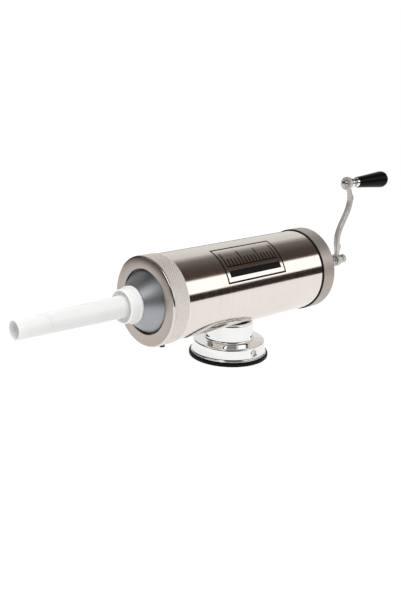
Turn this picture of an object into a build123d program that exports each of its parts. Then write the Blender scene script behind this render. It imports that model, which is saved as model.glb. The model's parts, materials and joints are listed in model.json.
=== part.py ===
from build123d import *
import os
from math import atan2, cos, degrees, pi, radians, sin, sqrt

os.makedirs("parts", exist_ok=True)

# Horizontal hand-cranked sausage stuffer on a vacuum foot.
# Millimetres.  Origin: centre of the foot's underside.  +Z up, barrel along X,
# nozzle towards -X, crank towards +X, foot lever on the +Y side.

# ---------------------------------------------------------------- barrel
AXIS_Z = 90.0            # height of the barrel axis
TUBE_R = 50.0            # outer radius of the barrel
TUBE_BORE_R = 48.0
TUBE_FRONT = -124.8
TUBE_REAR = 126.1
THREAD_R = 49.2          # crest radius of the rolled threads at both ends
FRONT_GAP = 0.5          # open line between the barrel's shoulder and the front ring
REAR_GAP = 1.2           # the same at the rear cap
GASKET_T = 1.5
GASKET_IN_R = 44.5
GASKET_OUT_R = 48.8

# ---------------------------------------------------------------- front ring
RING_FRONT = -133.6
RING_REAR = -110.3
RING_R = 51.4
RING_FACE_R = 49.8       # flat of the front face, inside the bevel
RING_BEVEL = 1.8
RING_OPENING_R = 36.75
RING_PLATE = 3.9         # thickness of the front face
CAP_BORE_R = 49.5        # clears the thread crests by 0.3
LOCK_X = -115.0          # lock screw under the ring
LOCK_ANGLE = 12.0        # degrees round from straight down, towards -Y

# ---------------------------------------------------------------- funnel
FUNNEL_FLANGE_T = 2.9
FUNNEL_MOUTH_R = 36.0
FUNNEL_TIP = -149.5
FUNNEL_TIP_R = 21.0
FUNNEL_WALL = 2.6
SPOUT_R = 16.0
SPOUT_BORE_R = 12.0
SPOUT_END = -156.0

# ---------------------------------------------------------------- nozzle
NOZZLE_BACK = -149.7
NOZZLE_BAND_END = -153.8
NOZZLE_BAND_R = 21.0
NOZZLE_CUP_R = 19.5
NOZZLE_LIP = -164.5
NOZZLE_LIP_R = 18.9
NOZZLE_CUP_FLOOR = -160.0
NOZZLE_THREAD_R = 16.3
NOZZLE_TIP = -294.5
TUBE_ROOT_R = 12.6
TUBE_TIP_R = 10.6
TUBE_ROOT_BORE_R = 11.2
TUBE_TIP_BORE_R = 9.2

# ---------------------------------------------------------------- rear cap
REAR_FRONT = 109.3
REAR_FACE = 131.1
REAR_R = 51.5
REAR_BEVEL = 1.3
BUSH_FLANGE_R = 20.0
BUSH_FLANGE_T = 3.5
BUSH_BOSS_R = 11.0
BUSH_INNER_END = 118.0
BUSH_SCREWS = 4
BUSH_PITCH_R = 15.0

# ---------------------------------------------------------------- screw and piston
SCREW_R = 6.0
SCREW_FIT = 0.06         # running clearance of the screw in its bush
JOURNAL_R = 5.0
COLLAR_R = 9.0
COLLAR_T = 7.2
PISTON_FACE = -70.0
PISTON_R = 47.2
PISTON_HEAD_T = 6.0
SEAL_T = 6.0
SEAL_R = 47.7
SPIGOT_R = 38.0
BACK_PLATE_T = 4.0
PISTON_SCREWS = 3
PISTON_PITCH_R = 24.0

# ---------------------------------------------------------------- crank
HUB_FRONT = 192.0
HUB_REAR = 199.0
HUB_R = 8.0
CRANK_RADIUS = 102.6     # barrel axis to grip axis
EYE_FRONT = 202.8
EYE_REAR = 207.5
EYE_R = 8.7
STUD_R = 4.0             # thread for the thumb nut
WASHER_T = 1.4
NUT_END = 211.5
AXLE_R = 3.0
AXLE_FIT = 0.08
FERRULE_START = 207.9
GRIP_START = 225.5
GRIP_END = 283.5
GRIP_NECK_R = 7.1
GRIP_BELLY_R = 10.9

# ---------------------------------------------------------------- foot
PAD_R = 48.3
PAD_T = 4.4
SHELL_RIM_R = 46.0
SHELL_SHOULDER_R = 43.3
SHELL_SHOULDER_Z = 20.4
SHELL_TOP_Z = 22.0
SHELL_WALL = 1.8
SHELL_HOLE_R = 15.0
NECK_R = 28.8
NECK_WALL = 1.8
NECK_TOP_Z = 45.0
NECK_SCREWS = 3
NECK_PITCH_R = 22.0
NECK_FLARE_W = 1.9       # flare at the neck's foot
NECK_FLARE_H = 3.0

# ---------------------------------------------------------------- foot lever
LEVER_Z = 12.5           # height of the lever axle
LEVER_AXLE_R = 3.0
CAM_R = 5.5
CAM_THROW = 2.0
CAM_T = 8.0
LEVER_REST = 15.0        # degrees above horizontal, towards +X
LEVER_LENGTH = 40.0
LEVER_Y = 46.0           # inner face of the lever
LEVER_T = 5.0

FIT = 0.05               # clearance of a screw or spigot in its hole

BARREL_AXIS = Axis((0, 0, AXIS_Z), (1, 0, 0))
GRIP_Z = AXIS_Z + CRANK_RADIUS


# ---------------------------------------------------------------- helpers
def turned_x(profile, z=AXIS_Z):
    """Solid of revolution about a line along X; profile points are (x, radius)."""
    outline = Polyline(*[(x, z + r) for x, r in profile], close=True)
    return revolve(Plane.XZ * make_face(outline), axis=Axis((0, 0, z), (1, 0, 0)))


def turned_edges_x(edges, z=AXIS_Z):
    """As turned_x, for a closed chain of lines and arcs given in (x, radius)."""
    face = Plane.XZ * Pos(0, z) * make_face(edges)
    return revolve(face, axis=Axis((0, 0, z), (1, 0, 0)))


def turned_z(profile):
    """Solid of revolution about the foot's own axis; profile points are (radius, z)."""
    outline = Polyline(*profile, close=True)
    return revolve(Plane.XZ * make_face(outline), axis=Axis.Z)


def tube_x(x0, x1, r_out, r_in=0.0, y=0.0, z=AXIS_Z):
    """Tube or bar along X between x0 and x1."""
    frame = Plane(origin=(x0, y, z), x_dir=(0, 1, 0), z_dir=(1, 0, 0))
    section = Circle(r_out) - Circle(r_in) if r_in else Circle(r_out)
    return extrude(frame * section, x1 - x0)


def bar_y(y0, y1, r_out, r_in=0.0, x=0.0, z=LEVER_Z):
    """Tube or bar along Y between y0 and y1."""
    frame = Plane(origin=(x, y0, z), x_dir=(1, 0, 0), z_dir=(0, 1, 0))
    section = Circle(r_out) - Circle(r_in) if r_in else Circle(r_out)
    return extrude(frame * section, y1 - y0)


def bar_z(z0, z1, r_out, x, y):
    """Bar along Z between z0 and z1."""
    return Pos(x, y, z0) * extrude(Circle(r_out), z1 - z0)


def hex_x(x0, x1, across_flats, hole_r, y, z):
    """Hexagon nut along X."""
    frame = Plane(origin=(x0, y, z), x_dir=(0, 1, 0), z_dir=(1, 0, 0))
    section = RegularPolygon(across_flats / 2, 6, major_radius=False)
    if hole_r:
        section -= Circle(hole_r)
    return extrude(frame * section, x1 - x0)


def ring_places(count, radius, start=0.0):
    """(a, b) places spread evenly on a circle, the first at start degrees."""
    angles = [radians(start + 360.0 * i / count) for i in range(count)]
    return [(radius * cos(a), radius * sin(a)) for a in angles]


def save(name, shape):
    """Write one named piece, a solid or a group of separate solids."""
    solids = shape if isinstance(shape, list) else [shape]
    solids = [s for shape in solids for s in shape.solids()]
    export_step(solids[0] if len(solids) == 1 else Compound(solids), f"parts/{name}.step")


# ---------------------------------------------------------------- barrel pieces
def barrel_tube():
    front_step = RING_REAR + FRONT_GAP
    rear_step = REAR_FRONT - REAR_GAP
    return turned_x([
        (TUBE_FRONT, TUBE_BORE_R), (TUBE_FRONT, THREAD_R - 0.4), (TUBE_FRONT + 0.6, THREAD_R),
        (front_step, THREAD_R), (front_step, TUBE_R),
        (rear_step, TUBE_R), (rear_step, THREAD_R),
        (TUBE_REAR - 0.6, THREAD_R), (TUBE_REAR, THREAD_R - 0.4), (TUBE_REAR, TUBE_BORE_R),
    ])


def gasket(x0):
    return tube_x(x0, x0 + GASKET_T, GASKET_OUT_R, GASKET_IN_R)


def front_ring():
    plate_back = RING_FRONT + RING_PLATE
    return turned_x([
        (RING_FRONT, RING_OPENING_R + 0.5), (RING_FRONT, RING_FACE_R),
        (RING_FRONT + RING_BEVEL, RING_R), (RING_REAR - 0.8, RING_R), (RING_REAR, RING_R - 0.8),
        (RING_REAR, CAP_BORE_R), (plate_back, CAP_BORE_R), (plate_back, RING_OPENING_R),
        (RING_FRONT + 0.5, RING_OPENING_R),
    ]) - (Pos(LOCK_X, 0, AXIS_Z) * Rot(-LOCK_ANGLE, 0, 0) * bar_z(-60, -40, 2.0 + 0.02, 0, 0))


def ring_lock_screw():
    """Knurled lock screw that stands radially out of the ring's underside."""
    shank = bar_z(-RING_R, -CAP_BORE_R - 0.1, 2.0, 0, 0)
    head = bar_z(-RING_R - 3.2, -RING_R, 3.1, 0, 0)
    head = chamfer(head.edges().group_by(Axis.Z)[0], 0.5)
    return Pos(LOCK_X, 0, AXIS_Z) * Rot(-LOCK_ANGLE, 0, 0) * (shank + head)


def funnel_cone():
    back = TUBE_FRONT - GASKET_T
    flange = back - FUNNEL_FLANGE_T
    outer = ThreePointArc(
        (flange - 1.2, FUNNEL_MOUTH_R), (-140.4, 28.9), (FUNNEL_TIP, FUNNEL_TIP_R))
    inner = ThreePointArc(
        (FUNNEL_TIP + FUNNEL_WALL, SPOUT_BORE_R), (-138.6, 25.2), (back, FUNNEL_MOUTH_R - 1.0))
    chain = [
        outer,
        Polyline((FUNNEL_TIP, FUNNEL_TIP_R), (FUNNEL_TIP, SPOUT_R), (SPOUT_END, SPOUT_R),
                 (SPOUT_END, SPOUT_BORE_R), (FUNNEL_TIP + FUNNEL_WALL, SPOUT_BORE_R)),
        inner,
        Polyline((back, FUNNEL_MOUTH_R - 1.0), (back, GASKET_OUT_R), (flange, GASKET_OUT_R),
                 (flange, FUNNEL_MOUTH_R), (flange - 1.2, FUNNEL_MOUTH_R)),
    ]
    return turned_edges_x(chain)


def nozzle_washer():
    return tube_x(SPOUT_END - 1.5, SPOUT_END, NOZZLE_THREAD_R - 0.4, TUBE_ROOT_BORE_R + 0.6)


def nozzle():
    seat = SPOUT_END - 1.6
    return turned_x([
        (NOZZLE_BACK, NOZZLE_THREAD_R), (NOZZLE_BACK, NOZZLE_BAND_R - 0.6),
        (NOZZLE_BACK - 0.6, NOZZLE_BAND_R), (NOZZLE_BAND_END, NOZZLE_BAND_R),
        (NOZZLE_BAND_END, NOZZLE_CUP_R), (NOZZLE_LIP + 0.5, NOZZLE_LIP_R),
        (NOZZLE_LIP, NOZZLE_LIP_R - 0.5), (NOZZLE_LIP, NOZZLE_LIP_R - 1.6),
        (NOZZLE_CUP_FLOOR - 0.8, NOZZLE_LIP_R - 2.2), (NOZZLE_CUP_FLOOR, NOZZLE_LIP_R - 3.0),
        (NOZZLE_CUP_FLOOR, TUBE_ROOT_R + 1.2), (NOZZLE_CUP_FLOOR - 1.2, TUBE_ROOT_R + 0.1),
        (NOZZLE_TIP, TUBE_TIP_R), (NOZZLE_TIP, TUBE_TIP_BORE_R),
        (seat, TUBE_ROOT_BORE_R), (seat, NOZZLE_THREAD_R),
    ])


# ---------------------------------------------------------------- rear cap pieces
def bush_places():
    return ring_places(BUSH_SCREWS, BUSH_PITCH_R, 45.0)


def rear_cap():
    plate_front = TUBE_REAR + GASKET_T
    cap = turned_x([
        (REAR_FRONT, CAP_BORE_R), (REAR_FRONT, REAR_R - 0.9), (REAR_FRONT + REAR_BEVEL, REAR_R),
        (REAR_FACE - REAR_BEVEL, REAR_R), (REAR_FACE, REAR_R - REAR_BEVEL),
        (REAR_FACE, BUSH_BOSS_R + FIT), (plate_front, BUSH_BOSS_R + FIT), (plate_front, CAP_BORE_R),
    ])
    for y, z in bush_places():
        cap -= tube_x(plate_front - 1, REAR_FACE + 1, 2.0 + FIT, y=y, z=AXIS_Z + z)
    return cap


def drive_bush():
    face = REAR_FACE + BUSH_FLANGE_T
    bore = SCREW_R + SCREW_FIT
    bush = turned_x([
        (BUSH_INNER_END, bore + 0.5), (BUSH_INNER_END, BUSH_BOSS_R - 0.6),
        (BUSH_INNER_END + 0.6, BUSH_BOSS_R), (REAR_FACE, BUSH_BOSS_R), (REAR_FACE, BUSH_FLANGE_R),
        (face - 0.8, BUSH_FLANGE_R), (face, BUSH_FLANGE_R - 0.8),
        (face, bore + 0.5), (face - 0.5, bore), (BUSH_INNER_END + 0.5, bore),
    ])
    for y, z in bush_places():
        bush -= tube_x(REAR_FACE - 1, face + 1, 2.0 + FIT, y=y, z=AXIS_Z + z)
    return bush


def bush_screw(y, z):
    face = REAR_FACE + BUSH_FLANGE_T
    shank = tube_x(TUBE_REAR - 2.5, face, 2.0, y=y, z=AXIS_Z + z)
    head = tube_x(face, face + 2.3, 3.75, y=y, z=AXIS_Z + z)
    head = fillet(head.edges().group_by(Axis.X)[-1], 1.0)
    socket = hex_x(face + 1.0, face + 3.0, 2.5, 0.0, y, AXIS_Z + z)
    return shank + head - socket


def bush_nut(y, z):
    inner = TUBE_REAR + GASKET_T
    return hex_x(inner - 3.2, inner, 7.0, 2.0 + FIT, y, AXIS_Z + z)


# ---------------------------------------------------------------- piston pieces
def piston_places():
    return ring_places(PISTON_SCREWS, PISTON_PITCH_R, 90.0)


COLLAR_FRONT = PISTON_FACE + 4.3
COLLAR_REAR = COLLAR_FRONT + COLLAR_T
SEAL_FRONT = PISTON_FACE + PISTON_HEAD_T
BACK_FRONT = SEAL_FRONT + SEAL_T
BACK_REAR = BACK_FRONT + BACK_PLATE_T


def piston_head():
    head = turned_x([
        (PISTON_FACE, 0), (PISTON_FACE, PISTON_R - 5), (PISTON_FACE + 2.0, PISTON_R),
        (SEAL_FRONT, PISTON_R), (SEAL_FRONT, SPIGOT_R), (BACK_FRONT, SPIGOT_R),
        (BACK_FRONT, COLLAR_R + 0.3), (COLLAR_FRONT - 0.3, COLLAR_R + 0.3), (COLLAR_FRONT - 0.3, 0),
    ])
    for y, z in piston_places():
        head -= tube_x(SEAL_FRONT - 2.5, BACK_FRONT + 1, 2.0 + FIT, y=y, z=AXIS_Z + z)
    return head


def piston_seal():
    mid = (SEAL_FRONT + BACK_FRONT) / 2
    bore = SPIGOT_R + FIT
    return turned_x([
        (SEAL_FRONT, bore), (SEAL_FRONT, SEAL_R - 0.5), (SEAL_FRONT + 0.8, SEAL_R),
        (mid - 0.8, SEAL_R), (mid, SEAL_R - 1.2), (mid + 0.8, SEAL_R),
        (BACK_FRONT - 0.8, SEAL_R), (BACK_FRONT, SEAL_R - 0.5), (BACK_FRONT, bore),
    ])


def piston_back():
    plate = turned_x([
        (BACK_FRONT, SCREW_R + SCREW_FIT), (BACK_FRONT, PISTON_R - 0.8),
        (BACK_REAR - 1.0, PISTON_R - 0.8), (BACK_REAR, PISTON_R - 1.8),
        (BACK_REAR, SCREW_R + SCREW_FIT),
    ])
    for y, z in piston_places():
        plate -= tube_x(BACK_FRONT - 1, BACK_REAR + 1, 2.0 + FIT, y=y, z=AXIS_Z + z)
    return plate


def piston_screw(y, z):
    shank = tube_x(SEAL_FRONT - 2.0, BACK_REAR, 2.0, y=y, z=AXIS_Z + z)
    head = tube_x(BACK_REAR, BACK_REAR + 2.2, 3.75, y=y, z=AXIS_Z + z)
    head = fillet(head.edges().group_by(Axis.X)[-1], 1.0)
    return shank + head


# ---------------------------------------------------------------- screw and crank pieces
PIN_R = 1.25
PIN_X = (COLLAR_FRONT + COLLAR_REAR) / 2


def cross_pin_hole():
    return bar_z(AXIS_Z - COLLAR_R - 1, AXIS_Z + COLLAR_R + 1, PIN_R + 0.02, PIN_X, 0)


def lead_screw():
    rod = turned_x([
        (COLLAR_FRONT, 0), (COLLAR_FRONT, JOURNAL_R), (COLLAR_REAR, JOURNAL_R),
        (COLLAR_REAR, SCREW_R), (HUB_FRONT - 1.0, SCREW_R), (HUB_FRONT, JOURNAL_R),
        (HUB_REAR - 0.2, JOURNAL_R), (HUB_REAR - 0.2, STUD_R), (NUT_END - 2.5, STUD_R),
        (NUT_END - 2.0, STUD_R - 0.5), (NUT_END - 2.0, 0),
    ])
    return rod - cross_pin_hole()


def thrust_collar():
    return tube_x(COLLAR_FRONT, COLLAR_REAR, COLLAR_R, JOURNAL_R + 0.02) - cross_pin_hole()


def collar_pin():
    return bar_z(AXIS_Z - COLLAR_R + 0.5, AXIS_Z + COLLAR_R - 0.5, PIN_R, PIN_X, 0)


# Arm centreline as (x, height above the screw axis, half thickness along X).
ARM_PATH = [
    (196.0, 4.0, 2.4), (195.7, 12.0, 2.9), (193.9, 22.0, 3.0), (194.3, 33.0, 3.0),
    (198.6, 44.5, 3.0), (206.6, 57.5, 3.0), (212.4, 68.0, 3.0), (214.6, 78.0, 3.0),
    (212.6, 88.0, 2.8), (208.2, 97.0, 2.4),
]


def arm_side_outline():
    """The cranked strip seen along Y, with a wedge shoulder behind each flattened end."""
    front = [(x - t, AXIS_Z + h) for x, h, t in ARM_PATH]
    back = [(x + t, AXIS_Z + h) for x, h, t in ARM_PATH]
    strip = make_face([
        Spline(*front), Line(front[-1], back[-1]), Spline(*back[::-1]), Line(back[0], front[0])])
    low = make_face(Polyline((197.0, 100.0), (200.6, 108.2), (198.6, 112.0), (195.0, 112.0), close=True))
    high = make_face(Polyline((209.5, 186.5), (219.2, 172.2), (217.4, 168.0), (213.0, 168.0), close=True))
    return strip + low + high


def arm_front_outline():
    """The same strip seen along X: narrow necks at both ends."""
    half = [(2.9, 2.0), (3.0, 9.0), (3.9, 17.0), (3.9, 80.0), (3.1, 92.0), (3.0, 99.0)]
    right = [(w, AXIS_Z + h) for w, h in half]
    left = [(-w, z) for w, z in right[::-1]]
    return make_face(Polyline(*right, *left, close=True))


def crank_arm():
    side = extrude(Plane.XZ * arm_side_outline(), 10, both=True)
    facing = Plane(origin=(180, 0, 0), x_dir=(0, 1, 0), z_dir=(1, 0, 0))
    front = extrude(facing * arm_front_outline(), 60)
    arm = side & front
    long_edges = arm.edges().filter_by(lambda e: e.length > 30)
    arm = fillet(long_edges, 1.3)
    hub = turned_x([
        (HUB_FRONT, 0), (HUB_FRONT, HUB_R - 0.8), (HUB_FRONT + 0.8, HUB_R),
        (HUB_REAR - 0.8, HUB_R), (HUB_REAR, HUB_R - 0.8), (HUB_REAR, 0)])
    eye = turned_x([
        (EYE_FRONT, 0), (EYE_FRONT, EYE_R - 0.8), (EYE_FRONT + 0.8, EYE_R),
        (EYE_REAR - 0.8, EYE_R), (EYE_REAR, EYE_R - 0.8), (EYE_REAR, 0)], GRIP_Z)
    arm = arm + hub + eye
    arm -= tube_x(HUB_FRONT - 9, HUB_REAR + 9, JOURNAL_R + 0.02)
    return arm - tube_x(EYE_FRONT - 9, EYE_REAR + 9, AXLE_R + 0.02, z=GRIP_Z)


def crank_washer():
    return tube_x(HUB_REAR, HUB_REAR + WASHER_T, 7.2, STUD_R + 0.2)


def thumb_nut():
    start = HUB_REAR + WASHER_T
    nut = turned_x([
        (start, STUD_R + FIT), (start, 5.6), (start + 1.2, 5.6), (start + 2.0, 4.9),
        (start + 3.8, 4.9), (start + 4.6, 6.0), (NUT_END - 1.0, 6.0), (NUT_END, 5.0),
        (NUT_END, 0), (NUT_END - 1.6, 0), (NUT_END - 1.6, STUD_R + FIT),
    ])
    for y, z in ring_places(10, 6.3):
        nut -= tube_x(start + 4.6, NUT_END + 1, 0.8, y=y, z=AXIS_Z + z)
    return nut


def grip_axle():
    head = GRIP_END - 5.0
    axle = turned_x([
        (EYE_FRONT - 3.0, 0), (EYE_FRONT - 3.0, AXLE_R), (head, AXLE_R), (head, 4.8),
        (head + 2.0, 4.8), (head + 3.0, 3.8), (head + 3.0, 0)], GRIP_Z)
    return axle - Pos(head + 3.0, 0, GRIP_Z) * Box(2.4, 12, 1.2)


def axle_nut():
    seat = EYE_FRONT
    body = hex_x(seat - 2.6, seat, 9.0, 0.0, 0, GRIP_Z)
    dome = turned_x([(seat - 4.2, 0), (seat - 4.2, 1.8), (seat - 3.6, 3.2),
                     (seat - 2.6, 4.2), (seat - 2.6, 0)], GRIP_Z)
    return body + dome - tube_x(seat - 3.0, seat + 1, AXLE_R + 0.02, z=GRIP_Z)


def grip_ferrule():
    bore = AXLE_R + AXLE_FIT
    s = FERRULE_START
    return turned_x([
        (s, bore), (s, 4.6), (s + 0.8, 5.4), (s + 4.0, 5.4), (s + 5.0, 6.2), (s + 7.4, 6.2),
        (s + 8.2, 5.5), (s + 12.4, 5.5), (s + 13.6, 6.3), (GRIP_START, 6.3), (GRIP_START, bore),
    ], GRIP_Z)


def grip():
    bore = AXLE_R + AXLE_FIT
    end = GRIP_END
    chain = [
        Polyline((GRIP_START, bore), (GRIP_START, GRIP_NECK_R - 0.6),
                 (GRIP_START + 0.6, GRIP_NECK_R)),
        ThreePointArc((GRIP_START + 0.6, GRIP_NECK_R), (GRIP_START + 28, 9.3),
                      (end - 5.0, GRIP_BELLY_R)),
        ThreePointArc((end - 5.0, GRIP_BELLY_R), (end - 1.6, 9.6), (end, 6.6)),
        Polyline((end, 6.6), (end, 5.4), (end - 5.0, 5.4), (end - 5.0, bore),
                 (GRIP_START, bore)),
    ]
    return turned_edges_x(chain, GRIP_Z)


# ---------------------------------------------------------------- foot pieces
def neck_places():
    return ring_places(NECK_SCREWS, NECK_PITCH_R, 90.0)


def suction_pad():
    return turned_z([
        (0, 0), (PAD_R - 0.6, 0), (PAD_R, 0.8), (PAD_R, PAD_T - 0.8), (PAD_R - 0.8, PAD_T),
        (36.0, PAD_T), (35.0, 2.0), (0, 2.0),
    ])


def base_shell():
    inner_r = SHELL_SHOULDER_R - SHELL_WALL
    under = SHELL_TOP_Z - 2.2
    chain = [
        Polyline((SHELL_RIM_R - 3.0, PAD_T + 0.1), (SHELL_RIM_R, PAD_T + 0.1),
                 (SHELL_RIM_R, PAD_T + 1.4)),
        ThreePointArc((SHELL_RIM_R, PAD_T + 1.4), (SHELL_RIM_R - 1.1, PAD_T + 2.7),
                      (SHELL_RIM_R - 1.6, PAD_T + 5.2)),
        Line((SHELL_RIM_R - 1.6, PAD_T + 5.2), (SHELL_SHOULDER_R, SHELL_SHOULDER_Z - 1.0)),
        ThreePointArc((SHELL_SHOULDER_R, SHELL_SHOULDER_Z - 1.0),
                      (SHELL_SHOULDER_R - 0.4, SHELL_SHOULDER_Z - 0.3),
                      (SHELL_SHOULDER_R - 1.2, SHELL_SHOULDER_Z)),
        Polyline((SHELL_SHOULDER_R - 1.2, SHELL_SHOULDER_Z), (NECK_R + 2, SHELL_TOP_Z),
                 (SHELL_HOLE_R, SHELL_TOP_Z), (SHELL_HOLE_R, under), (NECK_R, under),
                 (inner_r - 1.0, SHELL_SHOULDER_Z - 2.2), (inner_r, SHELL_SHOULDER_Z - 3.4),
                 (SHELL_RIM_R - 3.2, PAD_T + 5.0), (SHELL_RIM_R - 3.0, PAD_T + 0.1)),
    ]
    shell = revolve(Plane.XZ * make_face(chain), axis=Axis.Z)
    shell -= bar_y(-60, 60, 5.0 + FIT)
    for x, y in neck_places():
        shell -= bar_z(under - 1, SHELL_TOP_Z + 1, 2.0 + FIT, x, y)
    return shell


def base_neck():
    flange_z = SHELL_TOP_Z + 2.0
    neck = turned_z([
        (SHELL_HOLE_R + 1, SHELL_TOP_Z), (NECK_R + NECK_FLARE_W, SHELL_TOP_Z),
        (NECK_R + 0.5, SHELL_TOP_Z + 1.0), (NECK_R, SHELL_TOP_Z + NECK_FLARE_H), (NECK_R, NECK_TOP_Z),
        (0, NECK_TOP_Z), (0, NECK_TOP_Z - 2.0), (NECK_R - NECK_WALL, NECK_TOP_Z - 2.0),
        (NECK_R - NECK_WALL, flange_z), (SHELL_HOLE_R + 1, flange_z),
    ])
    rim = neck.edges().filter_by(GeomType.CIRCLE).group_by(Axis.Z)[-1]
    neck = fillet(rim, 3.4)
    neck -= tube_x(-60, 60, TUBE_R + 0.02)
    for x, y in neck_places():
        neck -= bar_z(SHELL_TOP_Z - 1, flange_z + 1, 2.0 + FIT, x, y)
    return neck


def neck_screw(x, y):
    under = SHELL_TOP_Z - 2.2
    head = bar_z(under - 2.3, under, 3.75, x, y)
    return head + bar_z(under - 0.2, SHELL_TOP_Z + 6.0, 2.0, x, y)


def neck_nut(x, y):
    z0 = SHELL_TOP_Z + 2.0
    section = RegularPolygon(3.5, 6, major_radius=False) - Circle(2.0 + FIT)
    return Pos(x, y, z0) * extrude(section, 3.2)


def axle_bush(side):
    """Flanged bush in the skirt; side is -1 for the -Y wall and +1 for the +Y wall."""
    bush = bar_y(38.5, 45.2, 5.0, LEVER_AXLE_R + 0.06)
    collar = bar_y(38.5, 40.0, 5.6, 4.5)
    bush = bush + collar
    chamfer_edge = bush.edges().filter_by(GeomType.CIRCLE).group_by(Axis.Y)[-1].sort_by(SortBy.RADIUS)[0]
    bush = chamfer(chamfer_edge, 0.9)
    return bush if side > 0 else mirror(bush, about=Plane.XZ)


# ---------------------------------------------------------------- foot lever pieces
def lever_axle():
    return bar_y(-43.2, LEVER_Y + LEVER_T + 1.2, LEVER_AXLE_R)


def lever_cam():
    a = radians(LEVER_REST)
    cx = CAM_THROW * sin(a)
    cz = LEVER_Z - CAM_THROW * cos(a)
    return bar_y(-CAM_T / 2, CAM_T / 2, CAM_R, x=cx, z=cz) - bar_y(-9, 9, LEVER_AXLE_R + 0.02)


def pull_yoke():
    half_x = CAM_R + CAM_THROW + 0.4
    low = LEVER_Z - CAM_THROW - CAM_R - 0.5
    high = LEVER_Z - CAM_THROW + CAM_R + 1.1
    block = Pos(0, 0, (2.1 + high + 1.8) / 2) * Box(2 * half_x + 4.4, CAM_T - 1.0, high + 1.8 - 2.1)
    window = Pos(0, 0, (low + high) / 2) * Box(2 * half_x, CAM_T + 9, high - low)
    foot = bar_z(2.1, 4.2, 12.0, 0, 0)
    return block + foot - window


def suction_lever():
    lever_dir = radians(LEVER_REST)
    end_x = LEVER_LENGTH * cos(lever_dir)
    end_z = LEVER_Z + LEVER_LENGTH * sin(lever_dir)
    hub = bar_y(LEVER_Y, LEVER_Y + LEVER_T, 6.4)
    web = Rot(0, -LEVER_REST, 0) * Pos(LEVER_LENGTH / 2, 0, 0) * Box(LEVER_LENGTH, LEVER_T, 7.0)
    web = Pos(0, LEVER_Y + LEVER_T / 2, LEVER_Z) * web
    paddle = bar_y(LEVER_Y, LEVER_Y + LEVER_T + 4.0, 7.5, x=end_x, z=end_z)
    paddle = fillet(paddle.edges().filter_by(GeomType.CIRCLE), 1.6)
    return hub + web + paddle - bar_y(LEVER_Y - 1, LEVER_Y + 20, LEVER_AXLE_R + 0.02)


def axle_clip():
    """Retaining ring in the axle's groove, against the inner end of the -Y bush."""
    ring = bar_y(-37.9, -37.0, 5.4, LEVER_AXLE_R + 0.02)
    return ring - Pos(0, -37.5, LEVER_Z - 4.0) * Box(3.4, 3, 5)


def main():
    save("barrel_tube", barrel_tube())
    save("front_ring", front_ring())
    save("ring_lock_screw", ring_lock_screw())
    save("funnel_cone", funnel_cone())
    save("front_gasket", gasket(TUBE_FRONT - GASKET_T))
    save("nozzle_washer", nozzle_washer())
    save("nozzle", nozzle())
    save("rear_gasket", gasket(TUBE_REAR))
    save("rear_cap", rear_cap())
    save("drive_bush", drive_bush())
    save("bush_screws", [bush_screw(y, z) for y, z in bush_places()])
    save("bush_nuts", [bush_nut(y, z) for y, z in bush_places()])
    save("piston_head", piston_head())
    save("piston_seal", piston_seal())
    save("piston_back_plate", piston_back())
    save("piston_screws", [piston_screw(y, z) for y, z in piston_places()])
    save("lead_screw", lead_screw())
    save("thrust_collar", thrust_collar())
    save("collar_pin", collar_pin())
    save("crank_arm", crank_arm())
    save("crank_washer", crank_washer())
    save("thumb_nut", thumb_nut())
    save("grip_axle", grip_axle())
    save("axle_nut", axle_nut())
    save("grip_ferrule", grip_ferrule())
    save("grip", grip())
    save("suction_pad", suction_pad())
    save("base_shell", base_shell())
    save("base_neck", base_neck())
    save("neck_screws", [neck_screw(x, y) for x, y in neck_places()])
    save("neck_nuts", [neck_nut(x, y) for x, y in neck_places()])
    save("axle_bush_front", axle_bush(-1))
    save("axle_bush_rear", axle_bush(1))
    save("lever_axle", lever_axle())
    save("lever_cam", lever_cam())
    save("pull_yoke", pull_yoke())
    save("suction_lever", suction_lever())
    save("axle_clip", axle_clip())


main()
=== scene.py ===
import json
from math import atan2, ceil, cos, pi, radians, sin, tau

import bmesh
import bpy
from bpy.props import FloatProperty, FloatVectorProperty, IntProperty, PointerProperty
from mathutils import Matrix, Vector


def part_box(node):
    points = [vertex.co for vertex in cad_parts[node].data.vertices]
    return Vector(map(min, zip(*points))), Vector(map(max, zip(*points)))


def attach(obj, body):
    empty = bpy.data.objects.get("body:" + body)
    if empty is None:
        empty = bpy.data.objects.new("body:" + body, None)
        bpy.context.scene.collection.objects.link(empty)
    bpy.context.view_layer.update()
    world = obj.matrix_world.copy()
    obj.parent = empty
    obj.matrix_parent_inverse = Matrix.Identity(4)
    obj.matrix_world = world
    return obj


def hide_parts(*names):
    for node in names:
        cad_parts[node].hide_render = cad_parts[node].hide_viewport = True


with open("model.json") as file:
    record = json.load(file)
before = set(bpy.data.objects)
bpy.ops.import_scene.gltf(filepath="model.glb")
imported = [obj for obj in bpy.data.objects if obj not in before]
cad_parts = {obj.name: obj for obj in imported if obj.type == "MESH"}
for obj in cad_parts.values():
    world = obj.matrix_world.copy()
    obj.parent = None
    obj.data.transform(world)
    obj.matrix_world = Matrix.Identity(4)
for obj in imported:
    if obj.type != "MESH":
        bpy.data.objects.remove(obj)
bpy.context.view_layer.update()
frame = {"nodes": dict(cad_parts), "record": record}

bl_info = {
    "name": "Sausage stuffer",
    "version": (1, 0, 0),
    "blender": (4, 5, 0),
    "location": "3D View > Sidebar > Stuffer",
    "description": "Builds the visible pieces of a hand-cranked sausage stuffer around its frame",
    "category": "Object",
}

# Lengths in the piece functions are millimetres, meshes are metres.
MM = 0.001
X, Y, Z = 0, 1, 2


def low(node, axis):
    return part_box(node)[0][axis] / MM


def high(node, axis):
    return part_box(node)[1][axis] / MM


def middle(node, axis):
    return (low(node, axis) + high(node, axis)) / 2


def half(node, axis):
    return (high(node, axis) - low(node, axis)) / 2


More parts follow.
